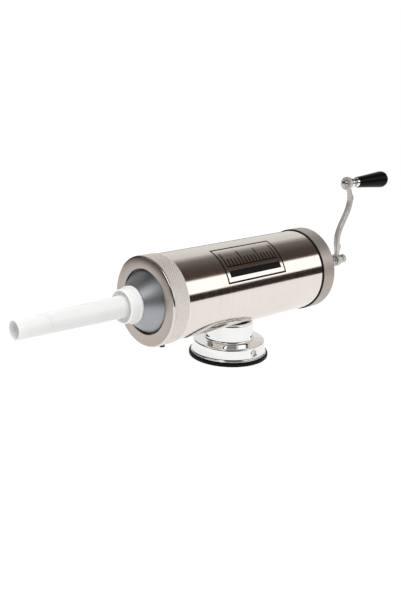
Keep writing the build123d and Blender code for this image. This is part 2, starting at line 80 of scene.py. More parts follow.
# ---------------------------------------------------------------- places read from the frame
AXIS_Z = middle("barrel_tube", Z)
TUBE_FRONT, TUBE_REAR = low("barrel_tube", X), high("barrel_tube", X)
TUBE_R = half("barrel_tube", Y)
RING_FRONT, RING_REAR = low("front_ring", X), high("front_ring", X)
RING_R = half("front_ring", Y)
CAP_FRONT, CAP_REAR = low("rear_cap", X), high("rear_cap", X)
CAP_R = half("rear_cap", Y)
BUSH_FACE = high("drive_bush", X)
SCREW_FRONT, SCREW_REAR = low("lead_screw", X), high("lead_screw", X)
SCREW_R = half("lead_screw", Y)
GRIP_Z = middle("grip", Z)
GRIP_START, GRIP_END = low("grip", X), high("grip", X)
FERRULE_START = low("grip_ferrule", X)
NECK_FLARE = 1.9         # flare at the neck's foot
NECK_R = half("base_neck", X) - NECK_FLARE
NECK_TOP = high("base_neck", Z)
SHELL_TOP = high("base_shell", Z)
PAD_R = half("suction_pad", X)
LEVER_Z = middle("axle_bush_front", Z)

# ---------------------------------------------------------------- shared fits
THREAD_CREST_R = TUBE_R - 0.8
CAP_BORE_R = TUBE_R - 0.5
GASKET_T = 1.5
FRONT_GAP, REAR_GAP = 0.5, 1.2     # open lines between the barrel's shoulders and the screwed rings
THREAD_STEP = 0.375      # spacing of mesh rows along a thread
KNURL_STEP = 0.42        # spacing of mesh rows along a knurl
FLAT = radians(32)       # edges sharper than this stay crisp
EASED = radians(28)      # profile corners sharper than this get a small bevel
CREST_BAND = 0.02        # points this near to the crest radius take the relief
THROUGH = 60             # half length of the cutters that go right through a piece


def length_setting(name, description, default, least, most):
    """Length in metres that a user may change."""
    return FloatProperty(name=name, description=description, default=default, min=least, max=most,
                         unit="LENGTH", subtype="DISTANCE")


def colour_setting(name, description, default):
    """Colour that a user may change."""
    return FloatVectorProperty(name=name, description=description, default=default,
                               min=0.0, max=1.0, subtype="COLOR")


class StufferSizes(bpy.types.PropertyGroup):
    """Sizes of the repeated relief on the turned pieces"""
    knurl_pitch: length_setting(
        "Knurl pitch", "Spacing of the diamonds on the screwed rings", 0.0030, 0.001, 0.005)
    ring_knurl_depth: length_setting(
        "Ring knurl depth", "Depth of the knurl on the front ring", 0.00060, 0.0, 0.001)
    cap_knurl_depth: length_setting(
        "Cap knurl depth", "Depth of the knurl on the rear cap", 0.00022, 0.0, 0.001)
    barrel_pitch: length_setting(
        "Barrel thread pitch", "Pitch of the rolled threads on the barrel", 0.003, 0.001, 0.006)
    screw_pitch: length_setting(
        "Screw pitch", "Advance of the piston for one turn of the crank", 0.004, 0.001, 0.01)
    thread_depth: length_setting(
        "Thread depth", "Depth of the barrel and screw threads", 0.00055, 0.0, 0.002)
    scale_marks: IntProperty(
        name="Scale marks", description="Number of graduation marks printed on the barrel",
        default=16, min=4, max=40)


class StufferColours(bpy.types.PropertyGroup):
    """Base colours of the finishes"""
    steel: colour_setting(
        "Steel", "Brushed stainless steel of the barrel", (0.745, 0.685, 0.635))
    ring: colour_setting("Ring steel", "Turned steel of the screwed rings", (0.47, 0.422, 0.380))
    funnel: colour_setting(
        "Funnel aluminium", "Turned aluminium of the funnel", (0.36, 0.375, 0.39))
    crank: colour_setting("Crank steel", "Satin steel of the crank arm", (0.60, 0.575, 0.54))
    chrome: colour_setting("Chrome", "Polished chrome of the foot", (0.84, 0.84, 0.83))
    nozzle: colour_setting("Nozzle", "Milky plastic of the nozzle", (0.76, 0.76, 0.75))
    black: colour_setting(
        "Black", "Black of the grip, the rubber and the print", (0.003, 0.0025, 0.0025))


class StufferStage(bpy.types.PropertyGroup):
    """Light and floor"""
    key_power: FloatProperty(
        name="Key power", description="Power of the large overhead light, in watts",
        default=34.0, min=0.0, subtype="POWER", unit="POWER")
    strip_glow: FloatProperty(
        name="Strip glow", description="Radiance of the long softbox beside the barrel",
        default=1.5, min=0.0)
    floor: colour_setting("Floor", "Colour of the pale floor", (0.14, 0.14, 0.14))


# ---------------------------------------------------------------- node helpers
class Wiring:
    """Adds nodes to a tree and joins them, so that a formula reads in order."""

    def __init__(self, tree):
        self.tree = tree

    def add(self, kind, **settings):
        node = self.tree.nodes.new(kind)
        for name, value in settings.items():
            setattr(node, name, value)
        return node

    def put(self, socket, value):
        if isinstance(value, bpy.types.NodeSocket):
            self.tree.links.new(value, socket)
        else:
            socket.default_value = value

    def feed(self, kind, **inputs):
        """Node with values or links put into its named inputs."""
        node = self.add(kind)
        for name, value in inputs.items():
            self.put(node.inputs[name], value)
        return node

    def fill(self, node, values):
        """Put values into a node's inputs in order; returns its first output."""
        for socket, value in zip(node.inputs, values):
            self.put(socket, value)
        return node.outputs[0]

    def math(self, operation, *values):
        return self.fill(self.add("ShaderNodeMath", operation=operation), values)

    def plus(self, *values):
        return self.math("ADD", *values)

    def minus(self, *values):
        return self.math("SUBTRACT", *values)

    def times(self, *values):
        return self.math("MULTIPLY", *values)

    def over(self, *values):
        return self.math("DIVIDE", *values)

    def split(self, vector):
        node = self.add("ShaderNodeSeparateXYZ")
        self.put(node.inputs[0], vector)
        return node.outputs[0], node.outputs[1], node.outputs[2]

    def join(self, *values):
        return self.fill(self.add("ShaderNodeCombineXYZ"), values)

    def span(self, value, from_low, from_high, to_low=0.0, to_high=1.0):
        return self.fill(
            self.add("ShaderNodeMapRange"), (value, from_low, from_high, to_low, to_high))

    def blend(self, factor, first, second):
        node = self.add("ShaderNodeMix", data_type="RGBA")
        for name, value in (("Factor_Float", factor), ("A_Color", first), ("B_Color", second)):
            socket = next(s for s in node.inputs if s.identifier == name)
            self.put(socket, value)
        return next(s for s in node.outputs if s.identifier == "Result_Color")


def new_group(name, kind, inputs, outputs):
    """Node group with named sockets; returns its wiring, its inputs and its output node."""
    tree = bpy.data.node_groups.new(name, kind)
    for label, socket_type, default in inputs:
        socket = tree.interface.new_socket(label, in_out="INPUT", socket_type=socket_type)
        if default is not None:
            socket.default_value = default
    for label, socket_type in outputs:
        tree.interface.new_socket(label, in_out="OUTPUT", socket_type=socket_type)
    wiring = Wiring(tree)
    given = wiring.add("NodeGroupInput").outputs
    result = wiring.add("NodeGroupOutput").inputs
    return wiring, given, result


def radius_from_axis(w, y, up):
    return w.math("SQRT", w.plus(w.times(y, y), w.times(up, up)))


# ---------------------------------------------------------------- geometry node trees
GEOMETRY = "NodeSocketGeometry"
NUMBER = "NodeSocketFloat"
LONG_MARK_EVERY = 5.0
BAR_ROWS = 7                # mesh rows along a printed mark, so that it bends round the barrel


def geometry_group(name, **numbers):
    """Geometry node group with a Geometry input, the named numbers and a Material input."""
    kinds = {float: NUMBER, int: "NodeSocketInt"}
    inputs = [(label.replace("_", " "), kinds[type(value)], value)
              for label, value in numbers.items()]
    return new_group(
        name, "GeometryNodeTree",
        [("Geometry", GEOMETRY, None), *inputs, ("Material", "NodeSocketMaterial", None)],
        [("Geometry", GEOMETRY)])


def end_tree(w, given, result, geometry):
    """Every tree ends in Realize Instances and Set Material."""
    real = w.feed("GeometryNodeRealizeInstances", Geometry=geometry)
    paint = w.feed("GeometryNodeSetMaterial", Geometry=real.outputs["Geometry"],
                   Material=given["Material"])
    w.put(result["Geometry"], paint.outputs["Geometry"])


def relief_start(w, given):
    """Place, radius and turn of each point about the axis, and whether it lies on the crest."""
    x, y, z = w.split(w.add("GeometryNodeInputPosition").outputs[0])
    up = w.minus(z, given["Axis Height"])
    radius = radius_from_axis(w, y, up)
    turn = w.over(w.math("ARCTAN2", up, y), tau)
    on_crest = w.math("COMPARE", radius, given["Crest Radius"], CREST_BAND * MM)
    return x, y, up, radius, turn, on_crest


def press_in(w, given, y, up, radius, hollow, chosen):
    """Move the chosen points towards the axis by hollow times the depth."""
    share = w.over(w.times(w.times(hollow, given["Depth"]), -1.0), radius)
    shift = w.join(0.0, w.times(y, share), w.times(up, share))
    move = w.feed("GeometryNodeSetPosition", Geometry=given["Geometry"], Selection=chosen,
                  Offset=shift)
    return move.outputs["Geometry"]


def zigzag(w, phase):
    """One at both ends of a phase that runs from 0 to 1, and zero in its middle."""
    return w.math("ABSOLUTE", w.minus(w.times(phase, 2.0), 1.0))


def thread_tree():
    """Cut a helical thread into the points that lie at the crest radius."""
    w, given, result = geometry_group(
        "thread_relief", Axis_Height=0.0, Crest_Radius=0.01, Pitch=0.003, Depth=0.0005)
    x, y, up, radius, turn, on_crest = relief_start(w, given)
    ramp = zigzag(w, w.math("FRACT", w.minus(w.over(x, given["Pitch"]), turn)))
    hollow = w.span(ramp, 0.3, 0.7, 1.0, 0.0)
    end_tree(w, given, result, press_in(w, given, y, up, radius, hollow, on_crest))


def knurl_tree():
    """Press crossed grooves into the points at the crest radius between two planes."""
    w, given, result = geometry_group(
        "knurl_relief", Axis_Height=0.0, Crest_Radius=0.05, Pitch=0.002, Teeth=150.0,
        Depth=0.0003, From=-1.0, To=1.0)
    x, y, up, radius, turn, on_crest = relief_start(w, given)
    around = w.times(turn, given["Teeth"])
    along = w.over(x, given["Pitch"])
    walls = [zigzag(w, w.math("FRACT", w.math(crossing, around, along)))
             for crossing in ("ADD", "SUBTRACT")]
    hollow = w.math("MAXIMUM", *walls)
    inside = w.times(w.math("GREATER_THAN", x, given["From"]), w.math("LESS_THAN", x, given["To"]))
    chosen = w.times(on_crest, inside)
    end_tree(w, given, result, press_in(w, given, y, up, radius, hollow, chosen))


def ring_of_copies_tree():
    """Repeat a piece that is modelled on the X axis, evenly on a circle about the barrel axis."""
    w, given, result = geometry_group(
        "ring_of_copies", Count=4, Pitch_Radius=0.015, Start_Angle=0.0, Axis_Height=0.0)
    index = w.add("GeometryNodeInputIndex").outputs[0]
    step = w.over(tau, given["Count"])
    angle = w.plus(given["Start Angle"], w.times(index, step))
    place = w.join(
        0.0, w.times(w.math("COSINE", angle), given["Pitch Radius"]),
        w.plus(given["Axis Height"], w.times(w.math("SINE", angle), given["Pitch Radius"])))
    points = w.feed("GeometryNodePoints", Count=given["Count"], Position=place)
    copies = w.feed("GeometryNodeInstanceOnPoints", Points=points.outputs[0],
                    Instance=given["Geometry"], Rotation=w.join(angle, 0.0, 0.0))
    end_tree(w, given, result, copies.outputs["Instances"])


def mark_reach(w, given, column):
    """Angle that a printed mark covers: every fifth one is long."""
    tall = w.math("LESS_THAN", w.math("MODULO", column, LONG_MARK_EVERY), 0.5)
    return w.plus(given["Short Angle"],
                  w.times(tall, w.minus(given["Long Angle"], given["Short Angle"])))


def marks_tree():
    """Row of printed marks along the barrel, every fifth one longer."""
    w, given, result = geometry_group(
        "scale_marks", Count=16, Spacing=0.004, Start=0.0, Base_Angle=0.6, Short_Angle=0.1,
        Long_Angle=0.2, Thickness=0.001, Ink_Radius=0.05, Ink_Depth=0.00005, Axis_Height=0.09)
    index = w.add("GeometryNodeInputIndex").outputs[0]
    start = w.plus(given["Start"], w.times(index, given["Spacing"]))
    points = w.feed("GeometryNodePoints", Count=given["Count"], Position=w.join(start, 0.0, 0.0))
    bar = w.feed("GeometryNodeMeshCube", Size=w.join(1.0, 1.0, 1.0), **{"Vertices Y": BAR_ROWS})
    copies = w.feed(
        "GeometryNodeInstanceOnPoints", Points=points.outputs[0], Instance=bar.outputs["Mesh"],
        Scale=w.join(given["Thickness"], mark_reach(w, given, index), given["Ink Depth"]))
    real = w.feed("GeometryNodeRealizeInstances", Geometry=copies.outputs["Instances"])
    # Each bar lies flat as (along, angle about its middle, depth) and is wrapped round the barrel.
    x, y, z = w.split(w.add("GeometryNodeInputPosition").outputs[0])
    size = mark_reach(
        w, given, w.math("ROUND", w.over(w.minus(x, given["Start"]), given["Spacing"])))
    angle = w.plus(given["Base Angle"], w.plus(y, w.times(size, 0.5)))
    radius = w.plus(given["Ink Radius"], z)
    wrapped = w.join(
        x, w.times(w.times(w.math("COSINE", angle), radius), -1.0),
        w.plus(given["Axis Height"], w.times(w.math("SINE", angle), radius)))
    move = w.feed("GeometryNodeSetPosition", Geometry=real.outputs["Geometry"], Position=wrapped)
    both = w.feed("GeometryNodeJoinGeometry", Geometry=given["Geometry"])
    w.put(both.inputs["Geometry"], move.outputs["Geometry"])
    end_tree(w, given, result, both.outputs["Geometry"])


def apply_tree(piece, tree, **values):
    """Run a node group about the barrel axis on the piece once and keep the plain mesh.

    The values are named as the group's inputs are."""
    modifier = piece.modifiers.new("shape", "NODES")
    modifier.node_group = tree = bpy.data.node_groups[tree]
    values["axis_height"] = AXIS_Z * MM
    wanted = {name.replace("_", " ").lower(): value for name, value in values.items()}
    for item in tree.interface.items_tree:
        if item.in_out == "INPUT" and item.name.lower() in wanted:
            modifier[item.identifier] = wanted.pop(item.name.lower())
    if wanted:
        raise ValueError(f"{tree.name} has no input named {sorted(wanted)}")
    keep_evaluated(piece)


def keep_evaluated(piece):
    """Replace the piece's mesh by its evaluated one, and remove its modifiers."""
    depsgraph = bpy.context.evaluated_depsgraph_get()
    made = bpy.data.meshes.new_from_object(
        piece.evaluated_get(depsgraph), preserve_all_data_layers=True, depsgraph=depsgraph)
    piece.modifiers.clear()
    old = piece.data
    piece.data = made
    made.name = piece.name
    bpy.data.meshes.remove(old)
    smooth(made)


# ---------------------------------------------------------------- mesh helpers
ALONG_X = Matrix.Identity(4)
ALONG_Y = Matrix(((0, 0, 1, 0), (1, 0, 0, 0), (0, 1, 0, 0), (0, 0, 0, 1)))
ALONG_Z = Matrix(((0, 1, 0, 0), (0, 0, 1, 0), (1, 0, 0, 0), (0, 0, 0, 1)))


def at(x, y, z, turn=ALONG_X):
    """Place a piece that is modelled about the X axis; x, y and z in millimetres."""
    return Matrix.Translation(Vector((x, y, z)) * MM) @ turn


BARREL_AXIS = at(0, 0, AXIS_Z)
GRIP_AXIS = at(0, 0, GRIP_Z)
FOOT_AXIS = at(0, 0, 0, ALONG_Z)
LEVER_AXIS = at(0, 0, LEVER_Z, ALONG_Y)


def smooth(mesh):
    mesh.polygons.foreach_set("use_smooth", [True] * len(mesh.polygons))
    mesh.set_sharp_from_angle(angle=FLAT)


def new_piece(name, verts, faces, place=ALONG_X):
    """Mesh object from points in millimetres, placed, closed and facing outwards."""
    mesh = bpy.data.meshes.new(name)
    mesh.from_pydata([tuple(place @ (Vector(v) * MM)) for v in verts], [], faces)
    shape = bmesh.new()
    shape.from_mesh(mesh)
    bmesh.ops.remove_doubles(shape, verts=shape.verts, dist=1e-7)
    bmesh.ops.recalc_face_normals(shape, faces=shape.faces)
    shape.to_mesh(mesh)
    shape.free()
    smooth(mesh)
    piece = bpy.data.objects.new(name, mesh)
    bpy.context.scene.collection.objects.link(piece)
    return piece


def curve(start, control, end, count=8):
    """Points of a quadratic curve, both ends included."""
    points = []
    for i in range(count + 1):
        t = i / count
        points.append(tuple(
            (1 - t) ** 2 * a + 2 * t * (1 - t) * b + t * t * c
            for a, b, c in zip(start, control, end)))
    return points


def rows(start, end, radius, step):
    """Evenly spaced profile points at one radius, so that relief can be cut into them."""
    count = max(1, ceil((end - start) / step))
    return [(start + (end - start) * i / count, radius) for i in range(count + 1)]


def eased(profile, size):
    """Break the corners of a closed profile by a small bevel."""
    out = []
    count = len(profile)
    for i, (a, r) in enumerate(profile):
        if callable(r) or callable(profile[i - 1][1]) or callable(profile[(i + 1) % count][1]):
            out.append((a, r))
            continue
        before = Vector((a, r)) - Vector(profile[i - 1])
        after = Vector(profile[(i + 1) % count]) - Vector((a, r))
        if min(before.length, after.length) < 1e-6 or r == 0 or before.angle(after) < EASED:
            out.append((a, r))
            continue
        back = min(size, before.length * 0.4)
        on = min(size, after.length * 0.4)
        out.append(tuple(Vector((a, r)) - before.normalized() * back))
        out.append(tuple(Vector((a, r)) + after.normalized() * on))
    return out


def lathe(name, profile, place=BARREL_AXIS, steps=128, ease=0.15):
    """Spin a profile of (along, radius) about the X axis; a radius may be a function of the angle.

    A profile whose ends are on the axis gets poles there. Any other profile is a closed loop."""
    profile = eased(profile, ease) if ease else profile
    verts, rings = [], []
    for along, radius in profile:
        if radius == 0:
            rings.append([len(verts)] * steps)
            verts.append((along, 0.0, 0.0))
            continue
        first = len(verts)
        for i in range(steps):
            angle = tau * i / steps
            r = radius(angle) if callable(radius) else radius
            verts.append((along, r * cos(angle), r * sin(angle)))
        rings.append(list(range(first, first + steps)))
    if profile[0][1] != 0:
        rings.append(rings[0])
    faces = []
    for ring, following in zip(rings, rings[1:]):
        for i in range(steps):
            j = (i + 1) % steps
            corners = [ring[i], ring[j], following[j], following[i]]
            corners = [c for k, c in enumerate(corners) if c != corners[k - 1]]
            if len(corners) > 2:
                faces.append(corners)
    return new_piece(name, verts, faces, place)


def from_inner_pole(profile):
    """Reorder a blind piece's profile so that both ends of the list lie on the axis."""
    split = next(i for i, point in enumerate(profile) if point[1] == 0)
    return profile[split + 1:] + profile[:split + 1]


def hexagon(across_flats):
    """Radius of a hexagon as a function of the angle."""
    return lambda angle: across_flats / 2 / cos((angle + pi / 6) % (pi / 3) - pi / 6)


def fluted(radius, count, depth):
    """Radius of a scalloped rim as a function of the angle."""
    return lambda angle: radius - depth * (0.5 - 0.5 * cos(count * angle)) ** 2


def weld(mesh):
    """Merge points closer than two microns, which a boolean leaves along its seam."""
    shape = bmesh.new()
    shape.from_mesh(mesh)
    bmesh.ops.remove_doubles(shape, verts=shape.verts, dist=2e-6)
    bmesh.ops.dissolve_degenerate(shape, edges=shape.edges, dist=1e-6)
    shape.to_mesh(mesh)
    shape.free()
    smooth(mesh)


def combine(piece, other, operation):
    """Boolean of two pieces; the second one is used up."""
    modifier = piece.modifiers.new("combine", "BOOLEAN")
    modifier.operation = operation
    modifier.solver = "EXACT"
    modifier.object = other
    keep_evaluated(piece)
    bpy.data.objects.remove(other)
    weld(piece.data)


def join_pieces(piece, *others):
    """Several closed shells as one piece."""
    shape = bmesh.new()
    shape.from_mesh(piece.data)
    for other in others:
        shape.from_mesh(other.data)
        bpy.data.objects.remove(other)
    shape.to_mesh(piece.data)
    shape.free()
    smooth(piece.data)


def paint(piece, material):
    piece.data.materials.clear()
    piece.data.materials.append(material)


def paint_faces(piece, finish, chosen):
    """Give a second finish to the faces that chosen(place along X, radius) picks."""
    mesh = piece.data
    mesh.materials.append(MATERIALS[finish])
    last = len(mesh.materials) - 1
    for face in mesh.polygons:
        x, y, z = face.center / MM
        if chosen(x, Vector((y, z - AXIS_Z)).length):
            face.material_index = last


def settle(piece, body, slot, *replaced, finish=None):
    """Attach a finished piece to its body, paint it and hide the CAD nodes that it stands for.

    The material is the slot's own, unless another finish is named."""
    paint(piece, MATERIALS[finish or slot])
    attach(piece, body)
    if replaced:
        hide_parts(*replaced)


def turned(name, profile, body, slot, *replaced, finish=None, **shape):
    """Lathe a piece and settle it."""
    settle(lathe(name, profile, **shape), body, slot, *replaced, finish=finish)


# ---------------------------------------------------------------- shader node groups
VECTOR = "NodeSocketVector"


def turned_marks_group():
    """Fine grooves left by turning or belt brushing about an axis along X, and broad streaks."""
    w, given, result = new_group("turned_marks", "ShaderNodeTree", [
        ("Vector", VECTOR, None), ("Axis Height", NUMBER, AXIS_Z * MM), ("Lines", NUMBER, 2500.0),
        ("Sweep", NUMBER, 25.0)], [("Height", NUMBER), ("Streaks", NUMBER)])
    x, y, z = w.split(given["Vector"])
    up = w.minus(z, given["Axis Height"])
    radius = radius_from_axis(w, y, up)
    for label, share, detail in (("Height", 1.0, 2.0), ("Streaks", 0.12, 3.0)):
        lines = w.times(given["Lines"], share)
        place = w.join(w.times(x, lines), w.times(y, given["Sweep"]),
                       w.times(up, given["Sweep"]))
        noise = w.feed("ShaderNodeTexNoise", Vector=place, Scale=1.0, Detail=detail)
        noise.noise_dimensions = "4D"
        w.put(noise.inputs["W"], w.times(radius, lines))
        w.put(result[label], noise.outputs[0])


def handling_group():
    """Soft uneven patches left by wiping and handling."""
    w, given, result = new_group("handling", "ShaderNodeTree", [
        ("Vector", VECTOR, None), ("Scale", NUMBER, 30.0)], [("Mask", NUMBER)])
    noise = w.feed("ShaderNodeTexNoise", Vector=given["Vector"], Scale=given["Scale"],
                   Detail=5.0, Roughness=0.62)
    w.put(result["Mask"], w.span(noise.outputs[0], 0.35, 0.68))


def edge_wear_and_shade_group():
    """Raised edges as a mask, for polish on corners and painted shade in the hollows."""
    w, given, result = new_group("edge_wear", "ShaderNodeTree", [
        ("Low", NUMBER, 0.50), ("High", NUMBER, 0.56)], [("Mask", NUMBER)])
    bend = w.add("ShaderNodeNewGeometry").outputs["Pointiness"]
    w.put(result["Mask"], w.span(bend, given["Low"], given["High"]))


def pebble_group():
    """Fine moulded skin of plastic and rubber."""
    w, given, result = new_group("moulded_skin", "ShaderNodeTree", [
        ("Vector", VECTOR, None), ("Scale", NUMBER, 900.0)], [("Height", NUMBER)])
    noise = w.feed("ShaderNodeTexNoise", Vector=given["Vector"], Scale=given["Scale"], Detail=3.0)
    w.put(result["Height"], noise.outputs[0])


# ---------------------------------------------------------------- materials
class Finish:
    """One material: a Principled shader with object coordinates and the shared groups."""

    def __init__(self, name, metallic, roughness):
        self.material = bpy.data.materials.new(name)
        self.material.use_nodes = True
        self.w = Wiring(self.material.node_tree)
        self.shader = self.material.node_tree.nodes["Principled BSDF"]
        self.put("Metallic", metallic)
        self.put("Roughness", roughness)
        self.place = self.w.add("ShaderNodeTexCoord").outputs["Object"]

    def group(self, name, **values):
        node = self.w.add("ShaderNodeGroup", node_tree=bpy.data.node_groups[name])
        if "Vector" in node.inputs:
            self.w.put(node.inputs["Vector"], self.place)
        for label, value in values.items():
            self.w.put(node.inputs[label.replace("_", " ")], value)
        return node.outputs

    def put(self, name, value):
        self.w.put(self.shader.inputs[name], value)

    def colour(self, value):
        self.put("Base Color", value)

    def roughness(self, value):
        self.put("Roughness", value)

    def bump(self, height, strength, distance):
        node = self.w.feed("ShaderNodeBump", Strength=strength, Distance=distance, Height=height)
        self.put("Normal", node.outputs[0])


def shade(colour, factor):
    return tuple(min(1.0, c * factor) for c in colour) + (1.0,)


def brushed_metal(name, colour, roughness, lines, spread=0.06, contrast=0.10, axis_z=AXIS_Z,
                  bump=0.25, off_edge_darkening=0.0, metallic=1.0):
    """Turned or brushed metal: grooves about an X axis, streaked gloss and wiped patches."""
    f = Finish(name, metallic, roughness)
    marks = f.group("turned_marks", Axis_Height=axis_z * MM, Lines=lines)
    patches = f.group("handling", Scale=22.0)
    tone = f.w.plus(f.w.times(marks["Streaks"], 0.7), f.w.times(patches["Mask"], 0.3))
    tint = f.w.blend(tone, shade(colour, 1.0 - contrast), shade(colour, 1.0 + contrast))
    # All but the raised edges are painted darker by this share.
    if off_edge_darkening:
        edge = f.group("edge_wear")
        tint = f.w.blend(edge["Mask"], shade(colour, 1.0 - off_edge_darkening), tint)
    f.colour(tint)
    f.roughness(f.w.span(tone, 0.2, 0.8, roughness - spread, roughness + spread))
    f.bump(marks["Height"], bump, 0.02 * MM)
    return f.material


def knurled_metal(name, colour, roughness):
    """Knurled band: bright worn crests over dull hollows."""
    f = Finish(name, 0.62, roughness)
    crest = f.group("edge_wear", Low=0.42, High=0.56)
    patches = f.group("handling", Scale=22.0)
    tint = f.w.blend(crest["Mask"], shade(colour, 0.50), shade(colour, 1.32))
    f.colour(f.w.blend(f.w.times(patches["Mask"], 0.3), tint, shade(colour, 0.75)))
    f.roughness(f.w.span(crest["Mask"], 0.0, 1.0, roughness * 1.3, roughness * 0.8))
    return f.material


def chrome(name, colour, roughness=0.035):
    """Polished plating with faint wiping haze, painted shade in the hollows and a slow ripple from
    the pressed sheet below.
    """
    f = Finish(name, 1.0, roughness)
    haze = f.group("handling", Scale=35.0)
    plate = f.w.blend(haze["Mask"], shade(colour, 1.0), shade(colour, 0.965))
    # Painted shade: the hollows are painted nearly black.
    hollow = f.group("edge_wear", Low=0.465, High=0.496)
    f.colour(f.w.blend(hollow["Mask"], shade(colour, 0.06), plate))
    f.roughness(f.w.span(haze["Mask"], 0.0, 1.0, roughness * 0.6, roughness * 1.9))
    ripple = f.group("handling", Scale=12.0)
    f.bump(ripple["Mask"], 0.12, 0.15 * MM)
    return f.material


def moulded(name, colour, roughness, scale, bump, variation=0.15):
    """Moulded plastic or rubber."""
    f = Finish(name, 0.0, roughness)
    skin = f.group("moulded_skin", Scale=scale)
    patches = f.group("handling", Scale=40.0)
    f.colour(f.w.blend(patches["Mask"], shade(colour, 1.0), shade(colour, 1.0 + variation)))
    f.roughness(f.w.span(patches["Mask"], 0.0, 1.0, roughness * 0.85, roughness * 1.15))
    f.bump(skin["Height"], bump, 0.03 * MM)
    return f


def nozzle_material(colour):
    f = moulded("nozzle_plastic", colour, 0.32, 500.0, 0.10, variation=0.02)
    f.put("Subsurface Weight", 0.6)
    f.put("Subsurface Radius", (1.0, 1.0, 1.0))
    f.put("Subsurface Scale", 4.0 * MM)
    return f.material


def matt_black(name, colour, roughness, scale, bump):
    """Black rubber or ink, with little sheen."""
    f = moulded(name, colour, roughness, scale, bump)
    f.put("Specular IOR Level", 0.12)
    return f.material


def grip_material(colour):
    f = moulded("grip_plastic", colour, 0.30, 300.0, 0.08)
    f.put("Specular IOR Level", 0.05)
    f.put("Coat Weight", 0.004)
    f.put("Coat Roughness", 0.08)
    return f.material


def make_materials(colours):
    """All finishes, by the name of the record's material slot."""
    steel, ring, black = colours.steel, colours.ring, colours.black
    finishes = [
        brushed_metal("barrel_steel", steel, 0.105, 2600.0, contrast=0.06, spread=0.03, bump=0.18),
        brushed_metal("ring_steel", ring, 0.30, 1800.0, off_edge_darkening=0.35, bump=0.35),
        brushed_metal("cap_steel", shade(ring, 1.04)[:3], 0.38, 1800.0, off_edge_darkening=0.2, bump=0.35,
                      contrast=0.16, metallic=0.66),
        # Painted shade: a near-black finish for the faces in the gap at the rear cap.
        matt_black("painted_gap_shade", (0.012, 0.010, 0.009), 0.45, 800.0, 0.2),
        knurled_metal("knurled_steel", steel, 0.42),
        brushed_metal("bevel_steel", shade(steel, 0.95)[:3], 0.12, 2600.0, bump=0.1),
        moulded("lock_black", (0.016, 0.015, 0.015), 0.38, 700.0, 0.2).material,
        brushed_metal("funnel_aluminium", colours.funnel, 0.40, 3000.0, bump=0.3),
        moulded("seal_silicone", (0.78, 0.77, 0.74), 0.45, 600.0, 0.15, variation=0.05).material,
        nozzle_material(colours.nozzle),
        brushed_metal("bush_brass", (0.62, 0.46, 0.24), 0.28, 2200.0, off_edge_darkening=0.15),
        brushed_metal("fastener_steel", (0.66, 0.65, 0.63), 0.24, 2600.0, off_edge_darkening=0.3),
        moulded("piston_plastic", (0.80, 0.80, 0.78), 0.42, 450.0, 0.15, variation=0.04).material,
        brushed_metal("screw_steel", (0.60, 0.58, 0.56), 0.22, 2200.0, off_edge_darkening=0.5),
        brushed_metal("crank_steel", colours.crank, 0.46, 900.0, axis_z=GRIP_Z, contrast=0.03,
                      bump=0.015, metallic=0.78),
        grip_material(black),
        chrome("foot_chrome", colours.chrome),
        matt_black("pad_rubber", black, 0.5, 1200.0, 0.3),
        chrome("lever_chrome", colours.chrome, 0.06),
        matt_black("print_ink", black, 0.5, 1500.0, 0.1),
    ]
    # Blender numbers a name that the frame's materials already have: the number is left off here.
    return {material.name.split(".")[0]: material for material in finishes}


MATERIALS = {}


# ---------------------------------------------------------------- barrel pieces
def make_barrel():
    sizes = bpy.context.scene.stuffer_sizes
    bore = TUBE_R - 2.0
    front_step, rear_step = RING_REAR + FRONT_GAP, CAP_FRONT - REAR_GAP
    groove_r = TUBE_R - 1.6
    profile = [(TUBE_FRONT, bore), (TUBE_FRONT, THREAD_CREST_R - 0.4)]
    profile += rows(TUBE_FRONT + 0.6, front_step, THREAD_CREST_R, THREAD_STEP)
    profile += [(front_step, TUBE_R), (rear_step, TUBE_R), (rear_step, groove_r),
                (CAP_FRONT + 1.5, groove_r)]
    profile += rows(CAP_FRONT + 2.0, TUBE_REAR - 0.6, THREAD_CREST_R, THREAD_STEP)
    profile += [(TUBE_REAR, THREAD_CREST_R - 0.4), (TUBE_REAR, bore)]
    barrel = lathe("barrel", profile, steps=256, ease=0.2)
    apply_tree(barrel, "thread_relief", crest_radius=THREAD_CREST_R * MM,
               pitch=sizes.barrel_pitch, depth=sizes.thread_depth)
    settle(barrel, "barrel", "barrel_steel", "barrel_tube")
    # Painted shade: the groove under the rear cap's front edge is painted near black.
    paint_faces(barrel, "painted_gap_shade", lambda x, r: (
        rear_step - 0.1 < x < CAP_FRONT + 1.8 and TUBE_R - 2.0 < r < TUBE_R - 0.3))


SCALE_FRONT, SCALE_REAR = -50.0, 44.0        # ends of the printed panel along the barrel
SCALE_LOW, SCALE_HIGH = 20.0, 76.0           # degrees above the level of the axis
INK_T = 0.05                                 # thickness of the ink


def ink_patch(name, x0, x1, low_angle, high_angle):
    """Thin curved patch of ink on the barrel's -Y side; angles in degrees above the axis level."""
    steps = max(2, ceil((high_angle - low_angle) / 2))
    verts = []
    for i in range(steps + 1):
        angle = radians(low_angle + (high_angle - low_angle) * i / steps)
        for radius in (TUBE_R - 0.01, TUBE_R + INK_T):
            for x in (x0, x1):
                verts.append((x, -radius * cos(angle), AXIS_Z + radius * sin(angle)))
    faces = [(0, 1, 3, 2), tuple(4 * steps + k for k in (0, 2, 3, 1))]
    for i in range(steps):
        a, b = 4 * i, 4 * (i + 1)
        faces += [(a, b, b + 1, a + 1), (a + 2, a + 3, b + 3, b + 2),
                  (a, a + 2, b + 2, b), (a + 1, b + 1, b + 3, a + 3)]
    return new_piece(name, verts, faces)


